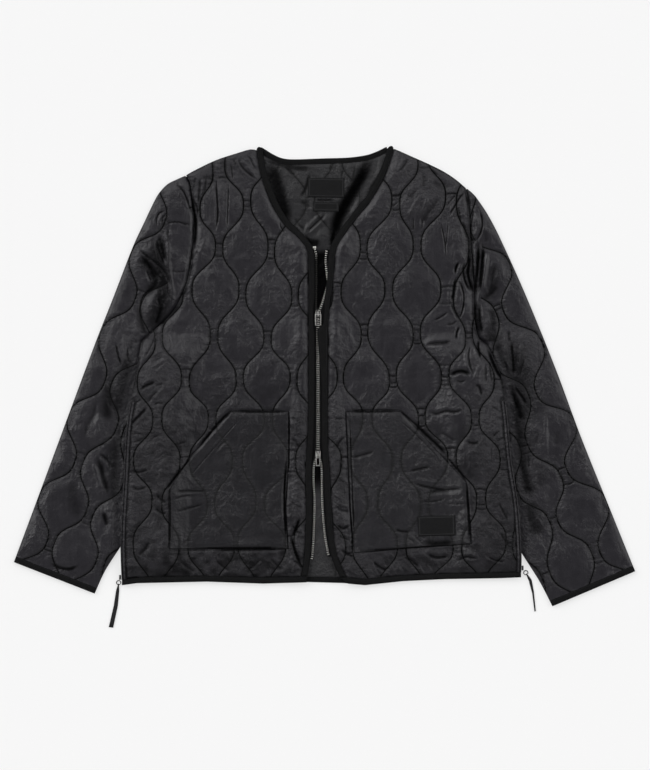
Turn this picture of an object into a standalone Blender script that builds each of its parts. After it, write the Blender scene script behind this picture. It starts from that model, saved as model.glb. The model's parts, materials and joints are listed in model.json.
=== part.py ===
"""Quilted field jacket, laid flat on its back with its two-way zip open at the neck and the hem.

The jacket has no collar. Each front, the back and each sleeve is one quilted panel, all edges are
bound, two patch pockets lie on the fronts, and a zip vent runs up each side from the hem.
Left and right are as seen from above with the neck up: -X is left, +Y is toward the neck.
Tables and sizes are in millimetres; MM turns them into metres when a mesh is made.
The origin is on the surface that the jacket lies on, under the middle of its box.
"""
import math

import bmesh
import bpy
from mathutils import Matrix, Vector

MM = 0.001

# Cloth and gaps
GAP = 0.3
SEAM_GAP = 0.6
BACK_WALL = 3.2
FRONT_WALL = 2.1
PUFF = 3.4
SLEEVE_WALL = 2.6
SLEEVE_HOLLOW = 0.5
SLEEVE_PUFF = 3.4
POCKET_WALL = 2.2
BINDING_WIDTH = 10.0
BINDING_THICKNESS = 4.2
VENT_BINDING_WIDTH = 8.0
LABEL_THICKNESS = 1.0

# Overall places
HEM_Y = -312.6
VENT_TOP_Y = -20.0
BACK_TOP_Y = 378.5
SIDE_LIFT = 7.6
ZIP_RISE = 4.0
VENT_RISE = 1.9
BACK_ROW_STEP = 36.0

# Body outlines as (x, y), from the hem up
SIDE_LEFT = [(-324, -313), (-325.6, -244), (-320.8, -148), (-316, -63), (-304.8, 4), (-292, 74)]
SIDE_RIGHT = [(314.4, -313), (314.4, -263), (309.6, -190), (298.4, -114), (290.4, -33), (280.8, 22),
              (260, 68)]
ARMHOLE_LEFT = [(-292, 74), (-282.4, 84), (-263.2, 100), (-247.2, 115), (-234.4, 134), (-220, 169),
                (-212, 212), (-208, 265), (-210.4, 290), (-215.2, 327), (-221.6, 339.2)]
ARMHOLE_RIGHT = [(260, 68), (247.2, 79), (240.5, 108), (239.2, 156), (236, 204), (232.8, 252),
                 (231, 292), (226.4, 318.4)]
SHOULDER_LEFT = [(-221.6, 339.2), (-210.4, 345.6), (-172, 364), (-135.2, 376), (-106.4, 385)]
SHOULDER_RIGHT = [(226.4, 318.4), (210.4, 332), (191.2, 344.8), (165.6, 357.6), (136.8, 370.4),
                  (114.4, 380.5), (101.6, 386.4)]
FRONT_EDGE_LEFT = [(-28.5, -313), (-26.6, -300), (-22.6, -268), (-20.6, -228), (-19.6, -180),
                   (-20.6, -132), (-17.6, -84), (-15.8, -20), (-15.8, 92), (-16, 200), (-19, 224),
                   (-33, 244), (-52, 262), (-67, 282), (-80.8, 311), (-93, 346), (-99.5, 384.5)]
FRONT_EDGE_RIGHT = [(29.6, -313), (13.6, -279), (7.2, -252), (4, -228), (-0.8, -146), (-4.3, -84),
                    (-4, 92), (-2.4, 124), (0.8, 148), (4.8, 180), (6.4, 207), (11.2, 229), (25, 252),
                    (43, 276), (64.8, 303), (83.5, 335), (95, 362), (101.6, 386)]
BACK_NECK = [(-101, 384.4), (-96, 381.5), (-83, 373.5), (-69, 367.2), (-52, 365), (1, 366.6),
             (39, 367.9), (68, 372), (84, 377.6), (95, 383), (99, 385)]
BACK_TOP_EDGE = [(-126, 378.6), (-112, 378), (-100, 371), (-83, 362), (-69, 356.6), (-52, 354.7),
                 (1, 356.3), (39, 357.6), (68, 361.5), (84, 367), (97, 373), (108, 379), (120, 378)]
HEM_WAVE = [(-324, -3.4), (-300, -0.2), (-188, 2.2), (-98, -1), (-26, 1.4), (31, -0.2), (65, -3.4),
            (126, 3), (193, 6.2), (282, 7.8), (316, 9.4)]

# Quilting: wavy lines in mirrored pairs, the first line's mean place, spacing, wave and its phase
QUILT = {
    "left": dict(first=-195.5, step=43.0, swing=15.0, period=139.5, crest=152.0, lean=0.0),
    "right": dict(first=45.0, step=42.5, swing=15.0, period=139.5, crest=22.0, lean=0.0),
    "sleeve_left": dict(first=11.2, step=43.5, swing=-17.0, period=135.0, crest=30.0, lean=0.02),
    "sleeve_right": dict(first=13.1, step=43.5, swing=-17.0, period=137.0, crest=44.0, lean=0.02),
}

# Largest folds: from (x0, y0) to (x1, y1), half width and height
FOLDS_LEFT = [
    (-168, 332, -160, 248, 9, 2.4),
    (-148, 350, -150, 270, 8, 1.8),
    (-296, 20, -262, 78, 10, 2.2),
    (-300, -40, -258, 18, 9, 1.8),
    (-232, 150, -205, 90, 10, 1.6),
]
FOLDS_RIGHT = [
    (186, 290, 198, 170, 9, 2.4),
    (212, 250, 232, 100, 8, 2.0),
    (222, 60, 280, 20, 10, 2.0),
    (205, 70, 168, 66, 8, 1.4),
    (240, -70, 185, -90, 9, 1.6),
]
FOLDS_SLEEVE_LEFT = [
    (34, 20, 60, 140, 9, 3.0),
    (62, 95, 52, 190, 9, 2.0),
]
FOLDS_SLEEVE_RIGHT = [
    (30, 30, 52, 150, 9, 2.6),
    (60, 130, 50, 215, 9, 2.0),
]

# Sleeves in their own frame: start and cuff point of the outer edge, then the outer and inner folds
# as (across, along); the inner fold starts at the armpit, where the armhole ends
SLEEVE_LEFT = dict(
    start=(-271.2, 300.0), cuff=(-496.8, -279.2), turn=1,
    outer=[(31.5, -54), (22, -44.7), (10, -31.4), (2.8, -14.8), (0, 0), (-3, 40), (-5.6, 80), (-5.5, 170),
           (-5.8, 250), (-3.8, 380), (-1.5, 520), (0, 621.6)],
    inner=[(64, 240), (82, 280), (118, 330), (147, 385), (158, 430), (160, 476),
           (152, 530), (142, 580), (139.3, 621.6)])
SLEEVE_RIGHT = dict(
    start=(245.6, 300.0), cuff=(496.8, -293.6), turn=-1,
    outer=[(9.6, -24), (5.3, -16.2), (1.9, -7.8), (0, 0), (-5, 26), (-8.5, 66), (-10.9, 171), (-9, 300),
           (-4, 410), (-1.5, 550), (0, 644.8)],
    inner=[(73, 245), (96, 290), (124, 335), (150, 390), (163, 440), (164, 490),
           (157, 545), (148, 600), (144.4, 644.8)])

# Patch pockets as (x, y) sides, from the bottom up; the opening is the slanted side
POCKET_LEFT = dict(
    low=[(-247.5, -257.5), (-246.6, -162), (-215.6, -111), (-171.6, -63), (-149.6, -38)],
    high=[(-58.5, -257.5), (-62.6, -191), (-57.5, -120), (-57.6, -38)])
POCKET_RIGHT = dict(
    low=[(47.5, -257.5), (41.4, -191), (37.4, -111), (34.4, -38)],
    high=[(233.6, -257.5), (232.5, -230), (226.4, -151), (121.4, -38)])
POCKET_BOTTOM_TILT_RIGHT = [(47, -6.5), (110, -1.5), (234, 8)]

# Main zip
CHAIN_HALF_WIDTH = 2.6
CHAIN_LEVELS = (4.9, 7.3)
TAPE_WIDTH = 11.0
TAPE_LEVELS = (5.7, 6.5)
CHAIN_LEFT = [(-21.3, -275), (-19.7, -268), (-17.3, -228), (-16.2, -180), (-17.8, -148), (-17.2, -124),
              (-12.9, -110), (-11.8, -99), (-11.8, -90), (-11.8, 100), (-11.8, 110), (-12.6, 122),
              (-13.6, 132), (-13.6, 210), (-16, 223)]
CHAIN_RIGHT = [(7.2, -270), (2.1, -244), (-1.4, -212), (-3.4, -180), (-3.8, -148), (-4.6, -124),
               (-7.8, -110), (-8.9, -99), (-8.9, -90), (-8.9, 100), (-8.9, 110), (-8.0, 122),
               (-5.0, 130), (-2.4, 138), (2.1, 152), (5.4, 168), (4.3, 180), (2.6, 194), (2.2, 207),
               (4.3, 221.6)]
SLIDER_WIDTH = 9.6
SLIDER_LENGTH = 12.0
SLIDER_PLATE = 1.0
SLIDER_UPPER = (-10.3, 117.0)
SLIDER_LOWER = (-10.3, -106.0)
PULL_THICKNESS = 1.2
PULL_BAR = 1.0
PULL_EYE = (2.9, 5.2)

# Labels: centre, size and tilt
NECK_LABEL = dict(centre=(2.6, 319.4), size=(58.0, 31.0), tilt=-0.8)
SIZE_LABEL = dict(centre=(2.4, 289.0), size=(41.0, 15.0), tilt=-0.8)
POCKET_LABEL = dict(centre=(179.0, -221.0), size=(59.0, 32.0), tilt=1.5)

# Side vents' hanging pulls: slider place, ring centre, then the ribbon's middle line
VENT_LEFT = dict(slider=(-327.0, -303.5), ring=(-329.2, -312.2),
                 ribbon=[(-331.2, -327.5), (-333.8, -349.0), (-341.6, -383.8)])
VENT_RIGHT = dict(slider=(316.9, -288.5), ring=(322.0, -296.2),
                  ribbon=[(329.2, -308.6), (333.6, -328.0), (337.0, -358.0)])
VENT_SLIDER_SIZE = (4.0, 8.0, 4.2)
RING_RADIUS = 3.4
RING_WIRE = 0.8
RIBBON_WIDTH = 8.0
RIBBON_THICKNESS = 0.5

# Finishes: colour, roughness, metallic
NYLON = ((0.022, 0.021, 0.024), 0.42, 0.0)
LINING = ((0.018, 0.018, 0.020), 0.5, 0.0)
TAPE = ((0.010, 0.010, 0.011), 0.85, 0.0)
METAL = ((0.42, 0.42, 0.43), 0.35, 1.0)
WOVEN = ((0.012, 0.012, 0.013), 0.7, 0.0)


# General helpers
def clear_scene():
    for thing in list(bpy.data.objects):
        bpy.data.objects.remove(thing, do_unlink=True)


def ease(value):
    """0 below 0, 1 above 1, smooth between."""
    value = min(max(value, 0.0), 1.0)
    return value * value * (3.0 - 2.0 * value)


def follow(points, at, key=1, value=0):
    """A smooth curve through points in rising order of their key coordinate, read at one key."""
    keys = [point[key] for point in points]
    values = [point[value] for point in points]
    if at <= keys[0]:
        return values[0]
    if at >= keys[-1]:
        return values[-1]
    index = max(i for i in range(len(keys) - 1) if keys[i] <= at)
    span = keys[index + 1] - keys[index]
    t = (at - keys[index]) / span

    def tangent(i):
        low = max(i - 1, 0)
        high = min(i + 1, len(keys) - 1)
        return (values[high] - values[low]) / (keys[high] - keys[low]) * span

    a = values[index]
    b = values[index + 1]
    start = tangent(index)
    end = tangent(index + 1)
    return ((2 * t**3 - 3 * t**2 + 1) * a + (t**3 - 2 * t**2 + t) * start
            + (-2 * t**3 + 3 * t**2) * b + (t**3 - t**2) * end)


def straight(points, at, key=0, value=1):
    """Straight lines through points in rising order of their key coordinate, read at one key."""
    if at <= points[0][key]:
        return points[0][value]
    for a, b in zip(points, points[1:]):
        if at <= b[key]:
            return a[value] + (b[value] - a[value]) * (at - a[key]) / (b[key] - a[key])
    return points[-1][value]


def edge_x(stretches, y):
    """The x of an outline made of several smooth stretches, each starting where the last ends."""
    for stretch in stretches:
        if y <= stretch[-1][1]:
            return follow(stretch, y)
    return follow(stretches[-1], y)


def slope_step(stretches, y, width):
    """How far along X a band of that width reaches beside a slanted edge."""
    slope = (edge_x(stretches, y + 2.0) - edge_x(stretches, y - 2.0)) / 4.0
    return width * math.sqrt(1.0 + min(abs(slope), 3.0)**2)


def fold_height(folds, x, y):
    total = 0.0
    for x0, y0, x1, y1, half_width, height in folds:
        along = Vector((x1 - x0, y1 - y0))
        span = along.length
        along /= span
        offset = Vector((x - x0, y - y0))
        place = offset.dot(along) / span
        side = abs(offset.x * along.y - offset.y * along.x) / half_width
        ends = ease((place + 0.15) / 0.3) * ease((1.15 - place) / 0.3)
        total += height * ends * max(0.0, 1.0 - side * side)
    return total


# Quilting
def quilt_line(quilt, index, y):
    swing = quilt["swing"] * (-1) ** (index % 2)
    wave = math.cos(2 * math.pi * (y - quilt["crest"]) / quilt["period"])
    return quilt["first"] + quilt["step"] * index - swing * wave + quilt["lean"] * y


def quilt_place(quilt, x, y):
    """Where x lies among the quilting lines: whole numbers are the lines themselves."""
    index = int(math.floor((x - quilt["first"] - quilt["lean"] * y) / quilt["step"])) - 1
    while quilt_line(quilt, index + 1, y) <= x:
        index += 1
    low = quilt_line(quilt, index, y)
    high = quilt_line(quilt, index + 1, y)
    return index + (x - low) / (high - low)


def quilt_x(quilt, place, y):
    index = math.floor(place)
    low = quilt_line(quilt, index, y)
    high = quilt_line(quilt, index + 1, y)
    return low + (high - low) * (place - index)


def puff(quilt, x, y, height):
    """Height of the padding between two lines: none on a line, most in the middle of a wide gap."""
    place = quilt_place(quilt, x, y)
    index = math.floor(place)
    gap = quilt_line(quilt, index + 1, y) - quilt_line(quilt, index, y)
    across = abs(2.0 * (place - index) - 1.0)
    return height * (gap / 74.0) ** 0.7 * (1.0 - across**2.4)


QUILT_COLUMNS = (0.0, 0.3, 0.7)


def quilt_columns(quilt, low, high, y, margin=2.5):
    """Column places on and between the quilting lines, inside low to high, each as (x, place)."""
    first = int(math.floor(quilt_place(quilt, low, y)))
    last = int(math.ceil(quilt_place(quilt, high, y)))
    columns = []
    for index in range(first, last + 1):
        for part in QUILT_COLUMNS:
            x = quilt_x(quilt, index + part, y)
            if low + margin < x < high - margin:
                columns.append((x, index + part))
    return columns


# Meshes
def rows_between(low, high, period, crest, extra=()):
    """Row heights in step with the quilting's wave, with the extra ones kept and near ones dropped."""
    step = period / 8.0
    fixed = sorted({low, high, *[y for y in extra if low < y < high]})
    first = int(math.ceil((low - crest) / step))
    last = int(math.floor((high - crest) / step))
    rows = list(fixed)
    for number in range(first, last + 1):
        y = crest + number * step
        if low < y < high and min(abs(y - other) for other in fixed) > 0.3 * step:
            rows.append(y)
    return sorted(rows)


class Skin:
    """Collects points and triangles of one closed solid."""

    def __init__(self):
        self.points = []
        self.faces = []

    def add(self, point):
        self.points.append(point)
        return len(self.points) - 1

    def line(self, points):
        """A line of points, each (x, y, z, place); returns (point number, place) pairs."""
        return [(self.add(point[:3]), point[3]) for point in points]

    def zip_lines(self, a, b):
        """Triangles between two lines of (number, place), joined where their places are nearest."""
        i = 0
        j = 0
        while i < len(a) - 1 or j < len(b) - 1:
            step_a = i < len(a) - 1
            if step_a and j < len(b) - 1:
                step_a = abs(a[i + 1][1] - b[j][1]) <= abs(b[j + 1][1] - a[i][1])
            if step_a:
                self.face(a[i][0], a[i + 1][0], b[j][0])
                i += 1
            else:
                self.face(a[i][0], b[j + 1][0], b[j][0])
                j += 1

    def face(self, *numbers):
        distinct = list(dict.fromkeys(numbers))
        if len(distinct) > 2:
            self.faces.append(distinct)

    def build(self, name, finish, collection, place=None):
        mesh = bpy.data.meshes.new(name)
        points = [Vector(point) for point in self.points]
        if place is not None:
            points = [place(point) for point in points]
        mesh.from_pydata([point * MM for point in points], [], self.faces)
        work = bmesh.new()
        work.from_mesh(mesh)
        bmesh.ops.recalc_face_normals(work, faces=work.faces)
        work.to_mesh(mesh)
        work.free()
        return dress(bpy.data.objects.new(name, mesh), finish, collection)


def dress(thing, finish, collection):
    """Gives an object its own material and puts it in the jacket's collection."""
    colour, roughness, metallic = finish
    material = bpy.data.materials.new(thing.name)
    material.use_nodes = True
    shader = material.node_tree.nodes["Principled BSDF"]
    shader.inputs["Base Color"].default_value = (*colour, 1.0)
    shader.inputs["Roughness"].default_value = roughness
    shader.inputs["Metallic"].default_value = metallic
    material.diffuse_color = (*colour, 1.0)
    thing.data.materials.clear()
    thing.data.materials.append(material)
    for other in list(thing.users_collection):
        other.objects.unlink(thing)
    collection.objects.link(thing)
    return thing


def slab(name, rows, finish, collection, place=None):
    """A panel from rows of (upper line, lower line); each line runs from the low x to the high x."""
    skin = Skin()
    made = [(skin.line(upper), skin.line(lower)) for upper, lower in rows]
    for (upper, lower), (next_upper, next_lower) in zip(made, made[1:]):
        skin.zip_lines(upper, next_upper)
        skin.zip_lines(lower, next_lower)
        for end in (0, -1):
            skin.face(upper[end][0], next_upper[end][0], next_lower[end][0])
            skin.face(upper[end][0], next_lower[end][0], lower[end][0])
    for upper, lower in (made[0], made[-1]):
        skin.zip_lines(level_places(upper, skin), level_places(lower, skin))
    return skin.build(name, finish, collection, place)


def level_places(line, skin):
    """The same line with each point's place read from its x, to join an upper and a lower line."""
    return [(number, skin.points[number][0]) for number, _ in line]


BEAD_PROFILE = [(0.0, 0.45), (0.16, 0.97), (0.8, 0.97), (1.0, 0.6), (1.0, 0.0), (0.06, 0.0)]


def bead(name, path, finish, collection):
    """A binding: a soft flat band along path, whose rows are (outer point, inner point, low, high)."""
    skin = Skin()
    rings = []
    for (ox, oy), (ix, iy), low, high in path:
        outer = Vector((ox, oy))
        inner = Vector((ix, iy))
        ring = []
        for part, level in BEAD_PROFILE:
            spot = outer.lerp(inner, part)
            ring.append(skin.add((spot.x, spot.y, low + (high - low) * level)))
        rings.append(ring)
    for ring, after in zip(rings, rings[1:]):
        count = len(ring)
        for i in range(count):
            j = (i + 1) % count
            skin.face(ring[i], ring[j], after[j])
            skin.face(ring[i], after[j], after[i])
    for ring in (rings[0], rings[-1]):
        for i in range(1, len(ring) - 1):
            skin.face(ring[0], ring[i], ring[i + 1])
    return skin.build(name, finish, collection)


def band(name, path, sides, finish, collection):
    """A strap: a rectangle carried along path; sides are (half width vector, half height vector)."""
    skin = Skin()
    rings = []
    for point, (wide, thick) in zip(path, sides):
        centre = Vector(point)
        rings.append([skin.add(centre + wide * a + thick * b)
                      for a, b in ((-1, -1), (1, -1), (1, 1), (-1, 1))])
    for ring, after in zip(rings, rings[1:]):
        for i in range(4):
            j = (i + 1) % 4
            skin.face(ring[i], ring[j], after[j])
            skin.face(ring[i], after[j], after[i])
    skin.face(*rings[0])
    skin.face(*rings[-1])
    return skin.build(name, finish, collection)


# Levels of the body's layers
def side_lift(x, y):
    """How far the body is raised where it lies over the hidden inner part of a sleeve."""
    up = ease((78.0 - y) / 40.0) * ease((y - HEM_Y + 2.0) / 40.0)
    side = follow(SIDE_LEFT, y) if x < 0 else follow(SIDE_RIGHT, y)
    inboard = (x - side) if x < 0 else (side - x)
    return SIDE_LIFT * up * (1.0 - ease((inboard - 72.0) / 42.0))


def zip_rise(x, y):
    """Extra height of the fronts near the zip, which lies under their edges."""
    low = edge_x([FRONT_EDGE_LEFT], min(y, 225.0))
    high = edge_x([FRONT_EDGE_RIGHT], min(y, 225.0))
    beside = (low - x) if x < 0.5 * (low + high) else (x - high)
    return ZIP_RISE * (1.0 - ease((beside - 16.0) / 34.0)) * (1.0 - ease((y - 225.0) / 45.0))


def vent_rise(x, y):
    side = follow(SIDE_LEFT, y) if x < 0 else follow(SIDE_RIGHT, y)
    inboard = (x - side) if x < 0 else (side - x)
    return VENT_RISE * (1.0 - ease((inboard - 9.0) / 22.0)) * (1.0 - ease((y - VENT_TOP_Y) / 20.0))


def back_top(x, y):
    return BACK_WALL + side_lift(x, y)


def front_base(x, y):
    lift = side_lift(x, y)
    cover = 0.8 * ease(lift / 1.5)
    return BACK_WALL + GAP + 0.1 + cover + lift + max(zip_rise(x, y), vent_rise(x, y))


def pocket_cover(side, x, y):
    """1 under a pocket and 0 away from it, where the front's padding is pressed."""
    shape = POCKET_LEFT if side == "left" else POCKET_RIGHT
    if not -270.0 < y < -30.0:
        return 0.0
    inside = min(x - straight(shape["low"], y, 1, 0), straight(shape["high"], y, 1, 0) - x,
                 y + 258.0, -38.0 - y)
    return ease((inside + 8.0) / 12.0)


def label_cover(x, y):
    """1 under the pocket's label, where the padding is flat."""
    cx, cy = POCKET_LABEL["centre"]
    w, h = POCKET_LABEL["size"]
    outside = max(abs(x - cx) - w / 2.0, abs(y - cy) - h / 2.0)
    return 1.0 - ease((outside - 3.0) / 14.0)


def front_top(side, x, y):
    low, high = front_sides(side, y)
    rim = min(x - low, high - x, y - (HEM_Y + BINDING_WIDTH) + 4.0)
    soft = ease(rim / 16.0)
    pressed = 1.0 - 0.45 * pocket_cover(side, x, y)
    if side == "right":
        pressed *= 1.0 - 0.95 * label_cover(x, y)
    folds = FOLDS_LEFT if side == "left" else FOLDS_RIGHT
    relief = puff(QUILT[side], x, y, PUFF) * pressed + fold_height(folds, x, y)
    wall = FRONT_WALL * (0.75 + 0.25 * ease(rim / 10.0))
    return front_base(x, y) + wall + relief * (0.15 + 0.85 * soft)


def hem_wave(x, y):
    """The hem's gentle rise and fall, fading out above the hem."""
    return straight(HEM_WAVE, x) * (1.0 - ease((y - HEM_Y) / 60.0))


def with_hem(point):
    return Vector((point.x, point.y + hem_wave(point.x, point.y), point.z))


BODY_LEFT = [SIDE_LEFT, ARMHOLE_LEFT, SHOULDER_LEFT]
BODY_RIGHT = [SIDE_RIGHT, ARMHOLE_RIGHT, SHOULDER_RIGHT]


def body_side(side, y):
    """The panel's edge at the side, armhole and shoulder, inside the vent's binding."""
    vent = (VENT_BINDING_WIDTH + GAP) * (1.0 - ease((y - VENT_TOP_Y) / 8.0))
    if side == "left":
        return edge_x(BODY_LEFT, y) + max(vent, armhole_gap(BODY_LEFT, y))
    return edge_x(BODY_RIGHT, y) - max(vent, armhole_gap(BODY_RIGHT, y))


def armhole_gap(stretches, y):
    if y < stretches[1][0][1] or y > stretches[1][-1][1]:
        return 0.0
    return slope_step(stretches, y, GAP)


def front_sides(side, y):
    if side == "left":
        inner = edge_x([FRONT_EDGE_LEFT], y) - slope_step([FRONT_EDGE_LEFT], y, BINDING_WIDTH + GAP)
        return body_side("left", y), inner
    inner = edge_x([FRONT_EDGE_RIGHT], y) + slope_step([FRONT_EDGE_RIGHT], y, BINDING_WIDTH + GAP)
    return inner, body_side("right", y)


# Body panels
def plain_columns(low, high, y):
    """Columns of a plain surface: close together where the body is raised over the sleeves."""
    columns = []
    if y < 80.0:
        for inboard in (72.0, 86.0, 100.0, 114.0):
            columns.append(follow(SIDE_LEFT, y) + inboard)
            columns.append(follow(SIDE_RIGHT, y) - inboard)
    return [x for x in sorted(columns) if low + 2.0 < x < high - 2.0]


def zip_columns(low, high, y):
    """Columns of a front's underside where it rises over the zip."""
    columns = []
    for beside in (16.0, 33.0, 50.0):
        columns.append(edge_x([FRONT_EDGE_LEFT], min(y, 225.0)) - beside)
        columns.append(edge_x([FRONT_EDGE_RIGHT], min(y, 225.0)) + beside)
    return [x for x in columns if y < 275.0 and low + 2.0 < x < high - 2.0]


def wave_columns(low, high):
    return [x for x, _ in HEM_WAVE if low + 1.0 < x < high - 1.0]


PANEL_BOTTOM_Y = HEM_Y + BINDING_WIDTH + GAP
FRONT_TOP_Y = 379.5


def front_rows(side):
    """Row heights of a front: in step with its quilting, and at the corners of what meets it."""
    quilt = QUILT[side]
    body = BODY_LEFT if side == "left" else BODY_RIGHT
    corners = [-258.0, -38.0, VENT_TOP_Y, VENT_TOP_Y + 8.0, 235.0, 364.0, 373.0]
    corners += [y for _, y in body[1]]
    return rows_between(PANEL_BOTTOM_Y, FRONT_TOP_Y, quilt["period"], quilt["crest"], corners)


def make_front(side, collection):
    quilt = QUILT[side]
    rows = []
    for y in front_rows(side):
        low, high = front_sides(side, y)
        upper = [(low, quilt_place(quilt, low, y))]
        upper += quilt_columns(quilt, low, high, y)
        upper.append((high, quilt_place(quilt, high, y)))
        inner = plain_columns(low, high, y) + zip_columns(low, high, y)
        if y == PANEL_BOTTOM_Y:
            inner += wave_columns(low, high)
            upper += [(x, quilt_place(quilt, x, y)) for x in wave_columns(low, high)]
            upper.sort()
        lower = [low, *sorted(inner), high]
        rows.append(([(x, y, front_top(side, x, y), place) for x, place in upper],
                     [(x, y, front_base(x, y), x) for x in lower]))
    return slab("front_" + side, rows, NYLON, collection, with_hem)


def make_back(collection):
    corners = [-291.0, -280.0, VENT_TOP_Y, VENT_TOP_Y + 8.0, 34.0, 45.0, 56.0, 308.0, 352.0, 364.0]
    corners += [y for _, y in ARMHOLE_LEFT + ARMHOLE_RIGHT]
    rows = []
    for y in rows_between(PANEL_BOTTOM_Y, BACK_TOP_Y, BACK_ROW_STEP * 8.0, -270.0, corners):
        low = body_side("left", y)
        high = body_side("right", y)
        spread = ease((y - 300.0) / (BACK_TOP_Y - 300.0))
        inner = set(plain_columns(low, high, y))
        if y == PANEL_BOTTOM_Y:
            inner.update(wave_columns(low, high))
        if y > 295.0:
            inner = {x for x, _ in BACK_TOP_EDGE[1:-1] if low + 3.0 < x < high - 3.0}
        upper = []
        lower = []
        for x in [low, *sorted(inner), high]:
            drop = (straight(BACK_TOP_EDGE, x) - BACK_TOP_Y) * spread
            upper.append((x, y + drop, back_top(x, y), x))
            lower.append((x, y + drop, side_lift(x, y), x))
        rows.append((upper, lower))
    return slab("back", rows, LINING, collection, with_hem)


def pocket_tilt(side, x, y):
    if side == "left":
        return 0.0
    return straight(POCKET_BOTTOM_TILT_RIGHT, x) * (1.0 - ease((y + 258.0) / 90.0))


def make_pocket(side, collection):
    shape = POCKET_LEFT if side == "left" else POCKET_RIGHT
    quilt = QUILT[side]
    corners = [point[1] for point in shape["low"] + shape["high"]]
    rows = []
    for y in rows_between(-257.5, -38.0, quilt["period"], quilt["crest"], corners):
        low = straight(shape["low"], y, 1, 0)
        high = straight(shape["high"], y, 1, 0)
        line = [(low, quilt_place(quilt, low, y)), *quilt_columns(quilt, low, high, y),
                (high, quilt_place(quilt, high, y))]
        upper = []
        lower = []
        for x, place in line:
            at = y + pocket_tilt(side, x, y)
            under = front_top(side, x, at) + 0.9
            rim = ease(min(x - low, high - x, y + 257.5, -38.0 - y) / 10.0)
            upper.append((x, at, under + POCKET_WALL * (0.7 + 0.3 * rim), place))
            lower.append((x, at, under, place))
        rows.append((upper, lower))
    return slab("pocket_" + side, rows, NYLON, collection)


def pocket_top(side, x, y):
    return front_top(side, x, y) + 0.9 + POCKET_WALL


# Sleeves
def sleeve_place(sleeve):
    """Turns a sleeve's own (across, along) frame into the jacket's frame."""
    start = Vector(sleeve["start"])
    along = (Vector(sleeve["cuff"]) - start).normalized()
    across = Vector((-along.y, along.x)) * sleeve["turn"]

    def place(point):
        spot = start + across * point.x + along * point.y
        return Vector((spot.x, spot.y, point.z))

    return place


def sleeve_armhole(sleeve):
    """The armhole's outline in the sleeve's frame, from the shoulder to the armpit."""
    outline = ARMHOLE_LEFT if sleeve["turn"] > 0 else ARMHOLE_RIGHT
    start = Vector(sleeve["start"])
    along = (Vector(sleeve["cuff"]) - start).normalized()
    across = Vector((-along.y, along.x)) * sleeve["turn"]
    heights = sorted({y for _, y in outline} | {0.5 * (a[1] + b[1]) for a, b in zip(outline, outline[1:])})
    points = []
    for y in reversed(heights):
        offset = Vector((follow(outline, y), y)) - start
        points.append((offset.dot(across), offset.dot(along)))
    return points


ARMHOLES = {1: sleeve_armhole(SLEEVE_LEFT), -1: sleeve_armhole(SLEEVE_RIGHT)}


def sleeve_sides(sleeve, along):
    outer = follow(sleeve["outer"], along)
    armhole = ARMHOLES[sleeve["turn"]]
    if along <= armhole[-1][1]:
        return outer, straight(armhole, along, 1, 0) - SEAM_GAP, False
    inner = [armhole[-1], *sleeve["inner"]]
    return outer, follow(inner, along) - SEAM_GAP, True


def body_over_sleeve(sleeve, across, along):
    """1 where the body covers the sleeve, so that its padding is pressed flat."""
    place = sleeve_place(sleeve)
    spot = place(Vector((across, along, 0.0)))
    side = SIDE_LEFT if sleeve["turn"] > 0 else SIDE_RIGHT
    if spot.y > 74.0:
        return 0.0
    edge = follow(side, spot.y)
    inside = (spot.x - edge) if sleeve["turn"] > 0 else (edge - spot.x)
    return ease((inside + 16.0) / 12.0)


UPPER_REST = 2 * SLEEVE_WALL + SLEEVE_HOLLOW


def sleeve_top(name, sleeve, across, along):
    low, high, closed = sleeve_sides(sleeve, along)
    rim = across - low
    seam = 1.0
    if closed:
        rim = min(rim, high - across)
    else:
        seam = 0.25 + 0.75 * ease((high - across) / 16.0)
    shoulder = ease(rim / 14.0)
    folds = FOLDS_SLEEVE_LEFT if sleeve["turn"] > 0 else FOLDS_SLEEVE_RIGHT
    relief = puff(QUILT[name], across, along, SLEEVE_PUFF) + fold_height(folds, across, along)
    shown = 1.0 - body_over_sleeve(sleeve, across, along)
    return UPPER_REST * (0.72 + 0.28 * shoulder) + relief * seam * shown * (0.1 + 0.9 * shoulder)


def tube(name, rows, finish, collection, place=None):
    """A flat open tube. Rows are (upper, lower, ceiling, floor, closed); lines run low to high.

    Upper and lower share their first point, and their last where the row is closed; ceiling and
    floor, the two sides of the hollow, do the same. Rows that are not closed are open at the high
    side: together they are the armhole.
    """
    skin = Skin()
    made = []
    for upper, lower, ceiling, floor, closed in rows:
        lines = []
        for above, below in ((upper, lower), (ceiling, floor)):
            first = skin.line(above)
            second = [first[0]] + skin.line(below[1:-1] if closed else below[1:])
            if closed:
                second.append(first[-1])
            lines += [first, second]
        made.append((*lines, closed))
    for a, b in zip(made, made[1:]):
        for part in range(4):
            skin.zip_lines(a[part], b[part])
        if not b[4]:
            for wall in ((0, 2), (1, 3)):
                ends = [a[wall[0]][-1][0], b[wall[0]][-1][0], b[wall[1]][-1][0], a[wall[1]][-1][0]]
                skin.face(*ends[:3])
                skin.face(ends[0], ends[2], ends[3])
        elif not a[4]:
            skin.face(a[0][-1][0], a[1][-1][0], b[0][-1][0])
            skin.face(a[2][-1][0], b[2][-1][0], a[3][-1][0])
            skin.face(a[0][-1][0], a[2][-1][0], a[3][-1][0])
            skin.face(a[0][-1][0], a[3][-1][0], a[1][-1][0])
    for end in (made[0], made[-1]):
        lines = [level_places(line, skin) for line in end[:4]]
        skin.zip_lines(lines[0], lines[2])
        skin.zip_lines(lines[1], lines[3])
    return skin.build(name, finish, collection, place)


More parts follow.
